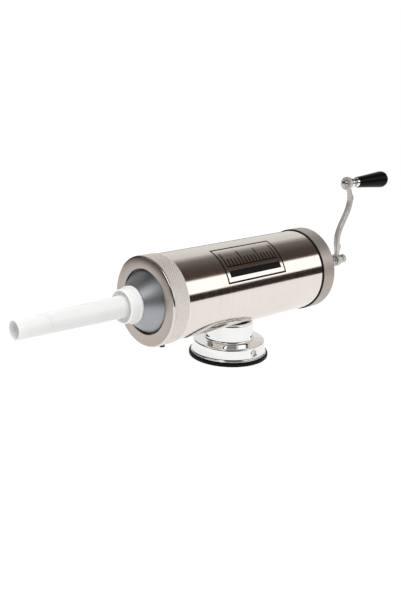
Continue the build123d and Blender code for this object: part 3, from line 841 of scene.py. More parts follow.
def make_scale():
    """Plain framed filling scale: a border, a base line and graduation marks, with no figures."""
    line, arc = 2.0, 2.4          # width of the border's lines, in millimetres and in degrees
    front, rear, lower, upper = SCALE_FRONT, SCALE_REAR, SCALE_LOW, SCALE_HIGH
    inset, base_line_top = 6, lower + 24
    gap = 0.02        # degrees left between patches, so that each is a closed shell of its own
    border = ink_patch("filling_scale", front, rear, lower, lower + arc)
    others = [
        ink_patch("edge", front, rear, upper - arc, upper),
        ink_patch("edge", front, front + line, lower + arc + gap, upper - arc - gap),
        ink_patch("edge", rear - line, rear, lower + arc + gap, upper - arc - gap),
        ink_patch("edge", front + inset, rear - inset, lower + 8, lower + 17),
        ink_patch("edge", front + inset, rear - inset, lower + 22, base_line_top),
    ]
    join_pieces(border, *others)
    marks = bpy.context.scene.stuffer_sizes.scale_marks
    margin = 7.0
    spacing = (rear - front - 2 * margin) / (marks - 1)
    apply_tree(border, "scale_marks", count=marks, spacing=spacing * MM,
               start=(front + margin) * MM, base_angle=radians(lower + 23.8),
               short_angle=radians(11.0), long_angle=radians(22.0), thickness=1.7 * MM,
               ink_radius=(TUBE_R + INK_T / 2) * MM, ink_depth=INK_T * MM)
    settle(border, "barrel", "barrel_steel", finish="print_ink")


def knurl_teeth(sizes, crest):
    return round(tau * crest * MM / sizes.knurl_pitch)


def knurl(piece, sizes, crest, start, end, depth):
    apply_tree(piece, "knurl_relief", crest_radius=crest * MM, pitch=sizes.knurl_pitch,
               teeth=float(knurl_teeth(sizes, crest)), depth=depth, to=end * MM,
               **{"from": start * MM})


def knurl_steps(sizes, crest):
    """Six mesh steps to each tooth, so that every tooth has the same shape."""
    return 6 * knurl_teeth(sizes, crest)


def make_front_ring():
    sizes = bpy.context.scene.stuffer_sizes
    plate_back = RING_FRONT + 3.9
    opening = 36.75
    face_r, bevel = RING_R - 1.6, 1.8
    band_front, band_rear = RING_FRONT + bevel + 0.4, RING_REAR - 0.5
    profile = [(RING_FRONT, opening + 0.6), (RING_FRONT, face_r - 0.6), (RING_FRONT + 0.25, face_r)]
    profile += curve((RING_FRONT + 0.5, face_r + 0.1), (RING_FRONT + 0.8, RING_R - 0.3),
                     (RING_FRONT + bevel, RING_R), 8)
    profile += rows(band_front, band_rear, RING_R, KNURL_STEP)
    profile += [(RING_REAR, RING_R - 0.5), (RING_REAR, CAP_BORE_R),
                (plate_back, CAP_BORE_R), (plate_back, opening), (RING_FRONT + 0.6, opening)]
    ring = lathe("screwed_ring", profile, steps=knurl_steps(sizes, RING_R), ease=0)
    knurl(ring, sizes, RING_R, band_front + 0.1, band_rear + 0.1, sizes.ring_knurl_depth)
    settle(ring, "front_ring", "ring_steel", "front_ring")
    paint_faces(ring, "knurled_steel", lambda x, r: x > band_front and r > RING_R - 1.0)
    paint_faces(ring, "bevel_steel", lambda x, r: x < RING_FRONT + bevel + 0.2 and r > face_r)


LOCK_X = -115.0          # place of the lock screw along the barrel
LOCK_ANGLE = 12.0        # degrees that it stands off straight down


def make_lock_screw():
    """Small knurled screw that stands out of the ring's underside."""
    rim = fluted(3.1, 16, 0.3)
    profile = [(RING_R - 2.0, 0), (RING_R - 2.0, 2.0), (RING_R, 2.0), (RING_R, 2.8),
               (RING_R + 0.4, rim), (RING_R + 2.6, rim), (RING_R + 3.1, 2.6), (RING_R + 3.1, 0)]
    down = Matrix.Rotation(radians(-LOCK_ANGLE), 4, "X") @ Matrix.Rotation(pi / 2, 4, "Y")
    screw = lathe("lock_screw", profile, place=at(LOCK_X, 0, AXIS_Z) @ down, steps=96, ease=0.1)
    settle(screw, "front_ring", "lock_black", "ring_lock_screw")


# ---------------------------------------------------------------- funnel and nozzle
def make_funnel():
    back = TUBE_FRONT - GASKET_T
    flange = back - 2.9
    rim = TUBE_R - 1.2
    mouth, tip, spout, bore = 36.0, 21.0, 16.0, 12.0
    tip_x, wall = -149.5, 2.6
    spout_end = low("funnel_cone", X)
    profile = curve((flange - 1.2, mouth), (-140.8, 29.3), (tip_x, tip), 24)
    profile += [(tip_x, spout), (spout_end, spout), (spout_end, bore), (tip_x + wall, bore)]
    profile += curve((tip_x + wall, bore), (-140.6, 26.9), (back, mouth - 1.0), 24)[1:]
    profile += [(back, rim), (flange, rim), (flange, mouth)]
    turned("funnel", profile, "funnel", "funnel_aluminium", "funnel_cone", steps=256, ease=0.25)


def make_nozzle():
    back, tip = high("nozzle", X), low("nozzle", X)
    band_end, lip, floor = back - 4.1, back - 14.8, back - 10.3
    band_r = half("nozzle", Y)
    cup_r, lip_r, thread_r = 19.5, 18.9, 16.3
    root_r, tip_r, root_bore, tip_bore = 12.6, 10.6, 11.2, 9.2
    seat = low("funnel_cone", X) - 1.6
    profile = [(back, thread_r), (back, band_r - 0.8)]
    profile += curve((back, band_r - 0.6), (back, band_r), (back - 0.6, band_r), 4)
    profile += curve((band_end + 0.6, band_r), (band_end, band_r), (band_end, band_r - 0.6), 4)
    profile += [(band_end, cup_r)]
    profile += curve((lip + 1.0, lip_r + 0.05), (lip, lip_r), (lip, lip_r - 0.8), 6)
    profile += curve((lip, lip_r - 1.4), (floor, lip_r - 1.6), (floor, root_r + 1.6), 12)
    profile += curve((floor, root_r + 1.4), (floor, root_r), (floor - 2.0, root_r - 0.03), 6)
    profile += curve((tip + 0.6, tip_r), (tip, tip_r), (tip, tip_r - 0.6), 4)
    profile += [(tip, tip_bore + 0.2), (tip + 0.2, tip_bore), (seat, root_bore), (seat, thread_r)]
    turned("filling_nozzle", profile, "nozzle", "nozzle_plastic", "nozzle", steps=160, ease=0)


# ---------------------------------------------------------------- rear cap pieces
def make_rear_cap():
    sizes = bpy.context.scene.stuffer_sizes
    plate_front = TUBE_REAR + GASKET_T
    bevel = 1.3
    boss = 11.05
    profile = [(CAP_FRONT, CAP_BORE_R), (CAP_FRONT, CAP_R - 0.9), (CAP_FRONT + bevel, CAP_R)]
    profile += rows(CAP_FRONT + bevel + 0.3, CAP_REAR - bevel - 0.3, CAP_R, KNURL_STEP)
    profile += [(CAP_REAR - bevel, CAP_R), (CAP_REAR, CAP_R - bevel), (CAP_REAR, boss),
                (plate_front, boss), (plate_front, CAP_BORE_R)]
    cap = lathe("screwed_cap", profile, steps=knurl_steps(sizes, CAP_R), ease=0.12)
    knurl(cap, sizes, CAP_R, CAP_FRONT + bevel + 0.6, CAP_REAR - bevel - 0.6, sizes.cap_knurl_depth)
    settle(cap, "rear_cap", "cap_steel", "rear_cap")
    # Painted shade: the cap's front face inside the gap is painted near black.
    paint_faces(cap, "painted_gap_shade", lambda x, r: x < CAP_FRONT + bevel and r > CAP_BORE_R)


def make_bush():
    inner = low("drive_bush", X)
    bore = SCREW_R + 0.06
    flange = half("drive_bush", Y)
    profile = [(inner, bore + 0.5), (inner, 10.4), (inner + 0.6, 11.0), (CAP_REAR, 11.0),
               (CAP_REAR, flange), (BUSH_FACE - 0.8, flange), (BUSH_FACE, flange - 0.8),
               (BUSH_FACE, bore + 0.9), (BUSH_FACE - 0.9, bore), (inner + 0.5, bore)]
    turned("screw_bush", profile, "rear_cap", "bush_brass", "drive_bush", steps=144)


def button_screw(name, seat, shank_end, head_r, head_h, socket):
    """Button-head screw on the X axis with a hexagon socket; its head points to +X."""
    socket_r = hexagon(socket)
    top = seat + head_h
    profile = [(shank_end, 0), (shank_end, 1.6), (shank_end + 0.4, 2.0), (seat, 2.0),
               (seat, head_r)]
    profile += curve((seat + 0.5, head_r), (top, head_r), (top, head_r * 0.5), 6)
    profile += [(top, lambda a: socket_r(a) + 0.15), (top - 0.15, socket_r),
                (top - 1.3, socket_r), (top - 1.5, 0)]
    return lathe(name, profile, place=ALONG_X, steps=48, ease=0)


def make_bush_screws():
    end = low("bush_screws", X)
    screws = button_screw("bush_button_screws", BUSH_FACE, end, 3.75, 2.3, 2.5)
    apply_tree(screws, "ring_of_copies", count=4, pitch_radius=15.0 * MM, start_angle=pi / 4)
    settle(screws, "rear_cap", "fastener_steel", "bush_screws")


# ---------------------------------------------------------------- screw and crank pieces
def make_lead_screw():
    sizes = bpy.context.scene.stuffer_sizes
    collar_rear = high("thrust_collar", X)
    stud_front = HUB_REAR - 0.2
    profile = [(SCREW_FRONT, 0), (SCREW_FRONT, 5.0), (collar_rear, 5.0),
               (collar_rear, SCREW_R - 0.5)]
    profile += rows(collar_rear + 0.5, HUB_FRONT - 1.4, SCREW_R, THREAD_STEP)
    profile += [(HUB_FRONT - 0.9, SCREW_R - 0.5), (HUB_FRONT, 5.0), (stud_front, 5.0),
                (stud_front, 4.0), (SCREW_REAR - 0.5, 4.0), (SCREW_REAR, 3.5), (SCREW_REAR, 0)]
    screw = lathe("threaded_screw", profile, steps=48, ease=0)
    deeper = 1.8        # the lead screw's thread against the barrel's
    apply_tree(screw, "thread_relief", crest_radius=SCREW_R * MM, pitch=sizes.screw_pitch,
               depth=sizes.thread_depth * deeper)
    settle(screw, "crank", "screw_steel", "lead_screw")


HUB_FRONT, HUB_REAR, HUB_R = 192.0, 199.0, 8.0
EYE_FRONT, EYE_REAR, EYE_R = 202.8, 207.5, 8.7

# The arm from hub to eye: height above the screw axis, centre along X, half thickness, half width.
ARM_STATIONS = [
    (3.0, 196.0, 2.4, 2.8), (12.0, 195.7, 2.8, 3.1), (22.0, 194.0, 3.0, 3.8),
    (33.0, 194.4, 3.0, 3.9), (44.5, 198.6, 3.0, 3.9), (57.5, 206.4, 3.0, 3.9),
    (68.0, 212.0, 3.0, 3.9), (78.0, 214.3, 3.0, 3.8), (88.0, 212.6, 2.8, 3.3),
    (99.0, 207.3, 2.4, 2.8),
]

# Wedge-shaped shoulders behind the strip, near the hub and near the eye: (x, z) corners.
SHOULDERS = [
    [(194.0, 98.0), (197.0, 98.0), (200.8, 108.4), (199.0, 112.0), (195.0, 112.0)],
    [(209.5, 187.0), (219.4, 172.2), (217.6, 167.6), (212.0, 167.0)],
]
SHOULDER_HALF_WIDTH = 2.7
HUB_BORE_R, EYE_BORE_R = 5.0, 3.0
BORE_CLEARANCE = 0.02


def smooth_between(stations, t):
    """Catmull-Rom value of a list of tuples at t, which runs from 0 to the last index."""
    last = len(stations) - 1
    i = min(int(t), last - 1)
    f = t - i
    p = [stations[max(0, min(last, k))] for k in (i - 1, i, i + 1, i + 2)]
    return tuple(
        0.5 * (2 * b + (c - a) * f + (2 * a - 5 * b + 4 * c - d) * f * f
               + (3 * b - a - 3 * c + d) * f ** 3)
        for a, b, c, d in zip(*p))


def arm_bar():
    """The cranked strip: a rounded bar lofted through its stations."""
    per_station, around = 6, 28
    squareness = 0.55        # 1 is an ellipse, and a smaller value is nearer to a rectangle
    count = (len(ARM_STATIONS) - 1) * per_station
    stations = [smooth_between(ARM_STATIONS, i / per_station) for i in range(count + 1)]
    verts, faces = [], []
    for i, (height, x, thick, wide) in enumerate(stations):
        before, after = stations[max(0, i - 1)], stations[min(count, i + 1)]
        slope = atan2(after[1] - before[1], after[0] - before[0])
        for k in range(around):
            angle = tau * k / around
            across = thick * abs(cos(angle)) ** squareness * (1 if cos(angle) > 0 else -1)
            side = wide * abs(sin(angle)) ** squareness * (1 if sin(angle) > 0 else -1)
            verts.append((x + across * cos(slope), side, AXIS_Z + height - across * sin(slope)))
    for i in range(count):
        ring, following = i * around, (i + 1) * around
        for k in range(around):
            j = (k + 1) % around
            faces.append((ring + k, ring + j, following + j, following + k))
    faces.append(tuple(range(around)))
    faces.append(tuple(count * around + k for k in range(around)))
    return new_piece("crank", verts, faces)


def prism(name, outline, near, far, bevel, segments, place=ALONG_X):
    """Outline of (x, z) points drawn out from y = near to y = far, with broken edges."""
    count = len(outline)
    verts = [(x, y, z) for y in (near, far) for x, z in outline]
    faces = [tuple(range(count)), tuple(range(count, 2 * count))]
    faces += [(i, (i + 1) % count, count + (i + 1) % count, count + i) for i in range(count)]
    piece = new_piece(name, verts, faces, place=place)
    ease = piece.modifiers.new("ease", "BEVEL")
    ease.width = bevel * MM
    ease.segments = segments
    keep_evaluated(piece)
    return piece


def eye_ring(name, start, end, radius, bore, place):
    """Round boss with a bore and generously broken edges."""
    profile = [(start, bore), (start, radius - 1.0)]
    profile += curve((start, radius - 1.0), (start, radius), (start + 1.0, radius), 5)
    profile += curve((end - 1.0, radius), (end, radius), (end, radius - 1.0), 5)
    profile += [(end, bore)]
    return lathe(name, profile, place=place, steps=96, ease=0.2)


def make_crank_arm():
    arm = arm_bar()
    for corners in SHOULDERS:
        wedge = prism("shoulder", corners, -SHOULDER_HALF_WIDTH, SHOULDER_HALF_WIDTH, 0.45, 2)
        combine(arm, wedge, "UNION")
    # A clear space for each bore, then the bosses round them.
    bosses = (("hub", HUB_FRONT, HUB_REAR, HUB_R, HUB_BORE_R, BARREL_AXIS),
              ("eye", EYE_FRONT, EYE_REAR, EYE_R, EYE_BORE_R, GRIP_AXIS))
    past_end, wider = 8, 1.5
    for name, start, end, outer, bore, place in bosses:
        clear_r = bore + wider
        plug = lathe("plug", [(start - past_end, 0), (start - past_end, clear_r),
                              (end + past_end, clear_r), (end + past_end, 0)],
                     place=place, steps=64, ease=0)
        combine(arm, plug, "DIFFERENCE")
    for name, start, end, outer, bore, place in bosses:
        combine(arm, eye_ring(name, start, end, outer, bore + BORE_CLEARANCE, place), "UNION")
    settle(arm, "crank", "crank_steel", "crank_arm")


def make_thumb_nut():
    start, end = low("thumb_nut", X), high("thumb_nut", X)
    rim = fluted(6.0, 12, 0.7)
    bore = 4.05
    profile = [(start, bore), (start, 5.2), (start + 0.4, 5.6), (start + 1.2, 5.6)]
    profile += curve((start + 1.6, 5.2), (start + 2.9, 4.3), (start + 4.2, 5.4), 6)
    profile += [(start + 4.8, rim), (end - 1.2, rim)]
    profile += curve((end - 0.8, 5.0), (end - 0.1, 4.4), (end, 2.6), 5)
    profile += [(end, 0), (end - 1.6, 0), (end - 1.6, bore)]
    turned("knurled_thumb_nut", from_inner_pole(profile), "crank", "fastener_steel", "thumb_nut",
           steps=144, ease=0)


def make_crank_washer():
    front, rear = low("crank_washer", X), high("crank_washer", X)
    outer = half("crank_washer", Y)
    washer = lathe("plain_washer", [(front, 4.2), (front, outer), (rear, outer), (rear, 4.2)],
                   steps=96, ease=0.25)
    settle(washer, "crank", "fastener_steel", "crank_washer")


def make_axle_nut():
    seat = high("axle_nut", X)
    outer = hexagon(9.0)
    dome = curve((seat - 2.9, 4.3), (seat - 4.3, 3.6), (seat - 4.2, 0.0), 7)
    profile = [(seat - 2.6, 0), (seat - 2.6, 3.1), (seat, 3.1), (seat, 4.3),
               (seat - 0.35, outer), (seat - 2.5, outer)] + dome[:-1] + [(seat - 4.2, 0)]
    turned("dome_nut", profile, "crank", "fastener_steel", "axle_nut",
           place=GRIP_AXIS, steps=96, ease=0)


def make_grip_axle():
    front, end = low("grip_axle", X), high("grip_axle", X)
    head = end - 3.0
    profile = [(front, 0), (front, 2.6), (front + 0.4, 3.0), (head, 3.0), (head, 4.7),
               (head + 0.3, 4.8), (head + 1.9, 4.8)]
    profile += curve((head + 2.1, 4.7), (head + 3.0, 4.2), (head + 3.0, 2.6), 5) + [(end, 0)]
    axle = lathe("slotted_axle", profile, place=GRIP_AXIS, steps=96, ease=0)
    slot = new_piece("slot", [(end - 1.2 + 3 * i, s, GRIP_Z + 0.6 * t)
                              for i in (0, 1) for s in (-6, 6) for t in (-1, 1)],
                     [(0, 1, 3, 2), (4, 5, 7, 6), (0, 1, 5, 4), (2, 3, 7, 6), (0, 2, 6, 4),
                      (1, 3, 7, 5)])
    combine(axle, slot, "DIFFERENCE")
    settle(axle, "crank", "screw_steel", "grip_axle")


AXLE_BORE_R = 3.08        # bore of the ferrule and the grip over the axle


def make_ferrule():
    s, bore = FERRULE_START, AXLE_BORE_R
    profile = [(s, bore), (s, 4.4)] + curve((s, 4.6), (s + 0.1, 5.4), (s + 1.0, 5.4), 4)
    profile += [(s + 3.8, 5.4)] + curve((s + 4.2, 5.5), (s + 6.2, 7.0), (s + 8.2, 5.5), 10)
    profile += [(s + 8.6, 5.4), (s + 12.0, 5.4)]
    profile += curve((s + 12.4, 5.6), (s + 12.9, 6.3), (s + 14.0, 6.3), 5)
    profile += [(GRIP_START, 6.3), (GRIP_START, bore)]
    turned("ferrule", profile, "grip", "fastener_steel", "grip_ferrule", finish="lever_chrome",
           place=GRIP_AXIS, steps=128, ease=0.15)


def make_grip():
    bore, neck = AXLE_BORE_R, 7.1
    start, end, belly_r = GRIP_START, GRIP_END, half("grip", Y)
    profile = [(start, bore), (start, neck - 0.8)] + curve(
        (start, neck - 0.7), (start, neck), (start + 0.7, neck), 4)
    profile += curve((start + 1.0, neck + 0.02), (start + 30.0, 9.1),
                     (end - 9.0, belly_r - 0.05), 20)
    profile += curve((end - 8.0, belly_r), (end - 1.0, belly_r + 0.1), (end, 6.8), 14)
    profile += curve((end, 6.4), (end, 5.4), (end - 0.8, 5.4), 3)
    profile += [(end - 5.0, 5.4), (end - 5.0, bore)]
    turned("turned_grip", profile, "grip", "grip_plastic", "grip",
           place=GRIP_AXIS, steps=160, ease=0)


# ---------------------------------------------------------------- foot pieces
def make_pad():
    top = high("suction_pad", Z)
    profile = [(0, 0), (0, PAD_R - 1.4)] + curve((0, PAD_R - 1.2), (0, PAD_R), (1.2, PAD_R), 5)
    profile += [(1.9, PAD_R - 0.25), (2.3, PAD_R - 0.25)]
    profile += curve((3.0, PAD_R), (top, PAD_R), (top, PAD_R - 1.3), 6)
    profile += [(top, 36.0), (2.0, 35.0), (2.0, 0)]
    turned("rubber_pad", profile, "barrel", "pad_rubber", "suction_pad",
           place=FOOT_AXIS, steps=192, ease=0)


def through_rod(name, radius, steps, place):
    """Plain rod that cuts a round hole or a saddle."""
    return lathe(name, [(-THROUGH, 0), (-THROUGH, radius), (THROUGH, radius), (THROUGH, 0)],
                 place=place, steps=steps, ease=0)


def make_base_shell():
    rim, shoulder_r = half("base_shell", X), 43.3
    bottom = low("base_shell", Z)
    top, shoulder_z, wall, hole = SHELL_TOP, 20.4, 1.8, 15.0
    under = top - 2.2
    inner = shoulder_r - wall
    profile = [(bottom, rim - 3.0), (bottom, rim - 0.4), (bottom + 0.4, rim), (bottom + 1.0, rim)]
    profile += curve((bottom + 1.3, rim - 0.2), (bottom + 1.8, rim - 1.5),
                     (bottom + 5.1, rim - 1.6), 8)
    profile += [(shoulder_z - 2.2, shoulder_r + 0.25)]
    profile += curve((shoulder_z - 2.0, shoulder_r + 0.2), (shoulder_z + 0.1, shoulder_r),
                     (shoulder_z + 0.1, shoulder_r - 2.4), 12)
    profile += [(top - 0.05, NECK_R + 2.5), (top, NECK_R + 2), (top, hole), (under, hole),
                (under, NECK_R), (shoulder_z - 2.2, inner - 1.0), (shoulder_z - 3.4, inner),
                (bottom + 5.0, rim - 3.2)]
    shell = lathe("foot_shell", profile, place=FOOT_AXIS, steps=256, ease=0.1)
    axle_hole = 5.05
    combine(shell, through_rod("drill", axle_hole, 64, LEVER_AXIS), "DIFFERENCE")
    settle(shell, "barrel", "foot_chrome", "base_shell")


def make_base_neck():
    wall, hole = 1.8, 16.0
    flange = SHELL_TOP + 2.0
    round_r = 3.4
    profile = [(SHELL_TOP, hole)]
    profile += curve((SHELL_TOP, NECK_R + NECK_FLARE), (SHELL_TOP + 0.1, NECK_R),
                     (SHELL_TOP + 4.4, NECK_R), 14)
    profile += curve((NECK_TOP - round_r, NECK_R), (NECK_TOP, NECK_R),
                     (NECK_TOP, NECK_R - round_r), 10)
    profile += [(NECK_TOP, 0), (NECK_TOP - 2.0, 0), (NECK_TOP - 2.0, NECK_R - wall),
                (flange, NECK_R - wall), (flange, hole)]
    neck = lathe("foot_neck", from_inner_pole(profile), place=FOOT_AXIS, steps=192, ease=0.1)
    combine(neck, through_rod("saddle", TUBE_R + 0.02, 256, BARREL_AXIS), "DIFFERENCE")
    settle(neck, "barrel", "foot_chrome", "base_neck")


def make_axle_bushes():
    for side, name in ((-1, "axle_bush_front"), (1, "axle_bush_rear")):
        inner, outer = 38.5, 45.2
        profile = [(side * a, r) for a, r in (
            (inner, 3.06), (inner, 5.6), (inner + 1.5, 5.6), (inner + 1.5, 5.0), (outer - 0.3, 5.0),
            (outer, 4.7), (outer, 4.0), (outer - 0.9, 3.06))]
        turned(f"{name}_turned", profile, "barrel", "foot_chrome", name, finish="lever_chrome",
               place=LEVER_AXIS, steps=96, ease=0.1)


LEVER_REST = 15.0        # degrees that the lever stands above level at rest


def arc(centre, radius, start, sweep, count=24):
    """Points on a circle about (centre, 0); angles in degrees."""
    angles = [radians(start + sweep * i / count) for i in range(count + 1)]
    return [(centre + radius * cos(a), radius * sin(a)) for a in angles]


def make_lever():
    """Flat pressed lever with a round paddle, on the end of the axle."""
    inner, thick, length = low("suction_lever", Y), 5.0, 40.0
    hub_r, waist, paddle_r = 6.4, 3.4, 7.5
    outline = arc(0.0, hub_r, 60, 240)
    outline += curve((hub_r * 0.5, -hub_r * 0.87), (12.0, -waist), (length * 0.6, -waist), 6)[1:]
    outline += arc(length, paddle_r, -152, 304)
    outline += curve((length * 0.6, waist), (12.0, waist), (hub_r * 0.5, hub_r * 0.87), 6)[:-1]
    turn = Matrix.Rotation(radians(-LEVER_REST), 4, "Y")
    lever = prism("foot_lever", outline, inner, inner + thick, 0.9, 3,
                  place=at(0, 0, LEVER_Z) @ turn)
    button = lathe("button", [(inner + 1, 0), (inner + 1, 7.0), (inner + thick, 7.3)] + curve(
        (inner + thick + 2.6, 7.2), (inner + thick + 4.0, 7.0), (inner + thick + 4.0, 5.4), 6)
        + [(inner + thick + 4.0, 0)],
        place=at(0, 0, LEVER_Z) @ turn @ at(length, 0, 0, ALONG_Y), steps=96, ease=0)
    combine(lever, button, "UNION")
    settle(lever, "lever", "lever_chrome", "suction_lever")


def make_lever_axle():
    front, rear = low("lever_axle", Y), high("lever_axle", Y)
    profile = [(front, 0), (front, 2.4), (front + 0.5, 3.0), (rear - 0.8, 3.0), (rear, 2.2),
               (rear, 0)]
    turned("foot_axle", profile, "lever", "screw_steel", "lever_axle",
           place=LEVER_AXIS, steps=64, ease=0)


def paint_inner_parts():
    """The pieces that keep their CAD shape take the finish of their own material slot."""
    slots = {s["node"]: s["material_slot"] for s in frame["record"]["subparts"]}
    for name, node in frame["nodes"].items():
        if not node.hide_render:
            paint(node, MATERIALS[slots[name]])


# ---------------------------------------------------------------- stage
CAMERA_PLACE = (-0.69010, -0.69895, 0.36824)
CAMERA_TURN = radians(-42.519)
CAMERA_TILT = radians(17.098)
CAMERA_ROLL = -0.037327
LENS, SENSOR = 50.95, 36.0        # millimetres


def make_camera():
    right = Vector((cos(CAMERA_TURN), sin(CAMERA_TURN), 0.0))
    back = Vector((sin(CAMERA_TURN) * cos(CAMERA_TILT), -cos(CAMERA_TURN) * cos(CAMERA_TILT),
                   sin(CAMERA_TILT)))
    up = back.cross(right)
    rolled_right = right * cos(CAMERA_ROLL) - up * sin(CAMERA_ROLL)
    rolled_up = right * sin(CAMERA_ROLL) + up * cos(CAMERA_ROLL)
    lens = bpy.data.cameras.new("camera")
    lens.lens = LENS
    lens.sensor_width = SENSOR
    lens.clip_start = 0.01
    camera = bpy.data.objects.new("camera", lens)
    turn = Matrix((rolled_right, rolled_up, back)).transposed()
    camera.matrix_world = Matrix.Translation(CAMERA_PLACE) @ turn.to_4x4()
    bpy.context.scene.collection.objects.link(camera)
    bpy.context.scene.camera = camera


# Brightness of the studio round the barrel axis: degrees above the level on the -Y side, radiance.
STUDIO_BANDS = [
    (-4.0, (0.030, 0.022, 0.018)), (12.5, (0.030, 0.022, 0.018)), (14.5, None), (46.0, None),
    (50.0, (0.11, 0.080, 0.066)), (58.0, (0.075, 0.052, 0.042)), (76.0, (0.080, 0.066, 0.056)),
    (90.0, (0.13, 0.115, 0.10)), (104.0, (0.20, 0.185, 0.17)), (113.0, (0.42, 0.40, 0.375)),
    (124.0, (0.80, 0.79, 0.77)), (150.0, (0.86, 0.86, 0.84)), (180.0, (0.80, 0.80, 0.79)),
]


ROOM = (0.020, 0.017, 0.015, 1.0)            # the dark wall beyond the nozzle's end
UPPER_WALL = (0.36, 0.35, 0.34, 1.0)
LAMP_WAY = Vector((-0.74, -0.21, 0.64)).normalized()    # where the round lamp stands
LAMP_GLOW = (2.6, 2.6, 2.65, 1.0)
LAMP_EDGE = (0.945, 0.975)                   # cosines of the lamp's soft edge, outer and inner
SURROUND = (0.80, 0.80, 0.80, 1.0)           # what matt surfaces are lit by
WHITE = (1.0, 1.0, 1.0, 1.0)
FLOOR_R, FLOOR_SIDES, FLOOR_GLOW = 1.3, 96, 0.92
LIGHT_PLACE, LIGHT_AIM = Vector((-0.5, -0.5, 2.2)), Vector((0.0, 0.0, 0.1))
LIGHT_SIZE = 2.6


def make_studio(stage):
    """White background; metal reflects a long softbox, a dark room beyond the nozzle and a lamp."""
    world = bpy.data.worlds.new("studio")
    bpy.context.scene.world = world
    world.use_nodes = True
    w = Wiring(world.node_tree)
    way = w.add("ShaderNodeTexCoord").outputs["Generated"]
    x, y, z = w.split(way)
    angle = w.math("ARCTAN2", z, w.times(y, -1.0))
    share = w.over(w.plus(angle, pi), tau)
    ramp = w.add("ShaderNodeValToRGB")
    w.put(ramp.inputs[0], share)
    stops = ramp.color_ramp.elements
    while len(stops) > 1:
        stops.remove(stops[-1])
    glow = stage.strip_glow
    for i, (band, colour) in enumerate(STUDIO_BANDS):
        stop = stops[0] if i == 0 else stops.new((band + 180.0) / 360.0)
        stop.position = (band + 180.0) / 360.0
        stop.color = tuple(colour or (glow, glow, glow * 0.99)) + (1.0,)
    near_lamp = w.add("ShaderNodeVectorMath", operation="DOT_PRODUCT")
    w.put(near_lamp.inputs[0], way)
    near_lamp.inputs[1].default_value = LAMP_WAY
    lamp = w.span(near_lamp.outputs["Value"], *LAMP_EDGE)
    walls = w.blend(w.span(z, 0.25, 0.60), ROOM, UPPER_WALL)
    walls = w.blend(w.span(z, 0.76, 0.86), walls, ROOM)
    room = w.blend(lamp, walls, LAMP_GLOW)
    reflected = w.blend(w.span(x, -0.06, 0.22), room, ramp.outputs[0])
    background = world.node_tree.nodes["Background"]
    ray = w.add("ShaderNodeLightPath").outputs
    shown = w.blend(ray["Is Glossy Ray"], SURROUND, reflected)
    w.put(background.inputs["Color"], w.blend(ray["Is Camera Ray"], shown, WHITE))


def make_floor(stage):
    """Large pale disc under the foot."""
    angles = [tau * i / FLOOR_SIDES for i in range(FLOOR_SIDES)]
    verts = [(0.0, 0.0, 0.0)] + [(FLOOR_R * cos(a), FLOOR_R * sin(a), 0.0) for a in angles]
    mesh = bpy.data.meshes.new("floor")
    mesh.from_pydata(
        verts, [], [(0, i + 1, (i + 1) % FLOOR_SIDES + 1) for i in range(FLOOR_SIDES)])
    floor = bpy.data.objects.new("floor", mesh)
    bpy.context.scene.collection.objects.link(floor)
    f = Finish("floor_paper", 0.0, 0.9)
    f.colour(tuple(stage.floor) + (1.0,))
    f.put("Specular IOR Level", 0.0)
    f.put("Emission Color", WHITE)
    f.put("Emission Strength", FLOOR_GLOW)
    mesh.materials.append(f.material)


def make_key_light(stage):
    """Large soft overhead light, which doesn't show in the polished metal."""
    light = bpy.data.lights.new("overhead", "AREA")
    light.shape = "DISK"
    light.size = LIGHT_SIZE
    light.energy = stage.key_power
    lamp = bpy.data.objects.new("overhead", light)
    lamp.location = LIGHT_PLACE
    aim = LIGHT_AIM - LIGHT_PLACE
    lamp.rotation_euler = aim.to_track_quat("-Z", "Y").to_euler()
    lamp.visible_glossy = False
    lamp.visible_camera = False
    bpy.context.scene.collection.objects.link(lamp)


# ---------------------------------------------------------------- operators
class Piece:
    """Shared settings of the operators that build pieces."""
    bl_options = {"REGISTER", "UNDO"}

    def execute(self, context):
        for make in self.makers:
            make()
        return {"FINISHED"}


class STUFFER_OT_materials(bpy.types.Operator):
    """Build the node trees and the finishes of all pieces"""
    bl_idname = "stuffer.materials"
    bl_label = "Materials"

    def execute(self, context):
        for build in (thread_tree, knurl_tree, ring_of_copies_tree, marks_tree,
                      turned_marks_group, handling_group, edge_wear_and_shade_group, pebble_group):
            build()
        MATERIALS.update(make_materials(context.scene.stuffer_colours))
        return {"FINISHED"}


class STUFFER_OT_barrel(Piece, bpy.types.Operator):
    """Build the threaded barrel and its printed filling scale"""
    bl_idname = "stuffer.barrel"
    bl_label = "Barrel"

    makers = (make_barrel, make_scale)


class STUFFER_OT_front_ring(Piece, bpy.types.Operator):
    """Build the knurled front ring and its lock screw"""
    bl_idname = "stuffer.front_ring"
    bl_label = "Front ring"

    makers = (make_front_ring, make_lock_screw)


class STUFFER_OT_funnel(Piece, bpy.types.Operator):
    """Build the funnel and the filling nozzle"""
    bl_idname = "stuffer.funnel"
    bl_label = "Funnel and nozzle"

    makers = (make_funnel, make_nozzle)


class STUFFER_OT_rear_cap(Piece, bpy.types.Operator):
    """Build the rear cap, its bush and the bush screws"""
    bl_idname = "stuffer.rear_cap"
    bl_label = "Rear cap"

    makers = (make_rear_cap, make_bush, make_bush_screws)


class STUFFER_OT_crank(Piece, bpy.types.Operator):
    """Build the lead screw, the crank arm and its fasteners"""
    bl_idname = "stuffer.crank"
    bl_label = "Screw and crank"

    makers = (make_lead_screw, make_crank_arm, make_crank_washer,
              make_thumb_nut, make_grip_axle, make_axle_nut)


class STUFFER_OT_grip(Piece, bpy.types.Operator):
    """Build the turning grip and its ferrule"""
    bl_idname = "stuffer.grip"
    bl_label = "Grip"

    makers = (make_ferrule, make_grip)


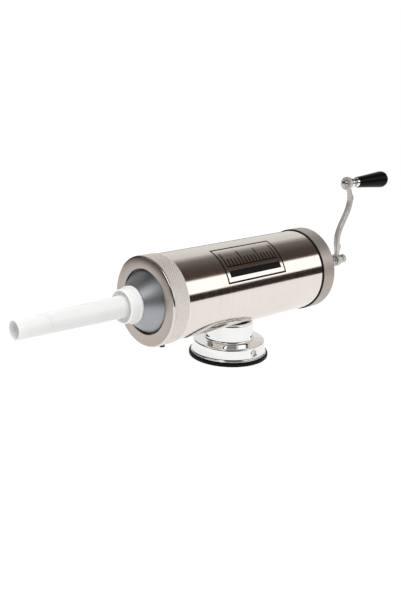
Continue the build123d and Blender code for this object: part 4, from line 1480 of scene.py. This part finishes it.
class STUFFER_OT_foot(Piece, bpy.types.Operator):
    """Build the suction foot: pad, shell, neck and axle bushes"""
    bl_idname = "stuffer.foot"
    bl_label = "Foot"

    makers = (make_pad, make_base_shell, make_base_neck, make_axle_bushes)


class STUFFER_OT_lever(Piece, bpy.types.Operator):
    """Build the foot lever and its axle"""
    bl_idname = "stuffer.lever"
    bl_label = "Foot lever"

    makers = (make_lever, make_lever_axle)


class STUFFER_OT_inner(Piece, bpy.types.Operator):
    """Finish the inner pieces that keep their CAD shape"""
    bl_idname = "stuffer.inner"
    bl_label = "Inner pieces"

    makers = (paint_inner_parts,)


class STUFFER_OT_stage(bpy.types.Operator):
    """Set the camera, the floor and the light"""
    bl_idname = "stuffer.stage"
    bl_label = "Stage"

    def execute(self, context):
        stage = context.scene.stuffer_stage
        context.scene.view_settings.view_transform = "Standard"
        make_camera()
        make_studio(stage)
        make_floor(stage)
        make_key_light(stage)
        return {"FINISHED"}


OPERATORS = [
    STUFFER_OT_materials, STUFFER_OT_barrel, STUFFER_OT_front_ring, STUFFER_OT_funnel,
    STUFFER_OT_rear_cap, STUFFER_OT_crank, STUFFER_OT_grip, STUFFER_OT_foot, STUFFER_OT_lever,
    STUFFER_OT_inner, STUFFER_OT_stage,
]


class STUFFER_PT_panel(bpy.types.Panel):
    """Lists the build steps in order"""
    bl_idname = "STUFFER_PT_panel"
    bl_label = "Sausage stuffer"
    bl_space_type = "VIEW_3D"
    bl_region_type = "UI"
    bl_category = "Stuffer"

    def draw(self, context):
        for operator in OPERATORS:
            self.layout.operator(operator.bl_idname)
        for group in (context.scene.stuffer_sizes, context.scene.stuffer_colours,
                      context.scene.stuffer_stage):
            box = self.layout.box()
            for name in group.__annotations__:
                box.prop(group, name)


CLASSES = [StufferSizes, StufferColours, StufferStage, *OPERATORS, STUFFER_PT_panel]


def register():
    for cls in CLASSES:
        bpy.utils.register_class(cls)
    bpy.types.Scene.stuffer_sizes = PointerProperty(type=StufferSizes)
    bpy.types.Scene.stuffer_colours = PointerProperty(type=StufferColours)
    bpy.types.Scene.stuffer_stage = PointerProperty(type=StufferStage)


def unregister():
    del bpy.types.Scene.stuffer_stage
    del bpy.types.Scene.stuffer_colours
    del bpy.types.Scene.stuffer_sizes
    for cls in reversed(CLASSES):
        bpy.utils.unregister_class(cls)


def main():
    register()
    for operator in OPERATORS:
        group, name = operator.bl_idname.split(".")
        getattr(getattr(bpy.ops, group), name)()


if __name__ == "__main__":
    main()
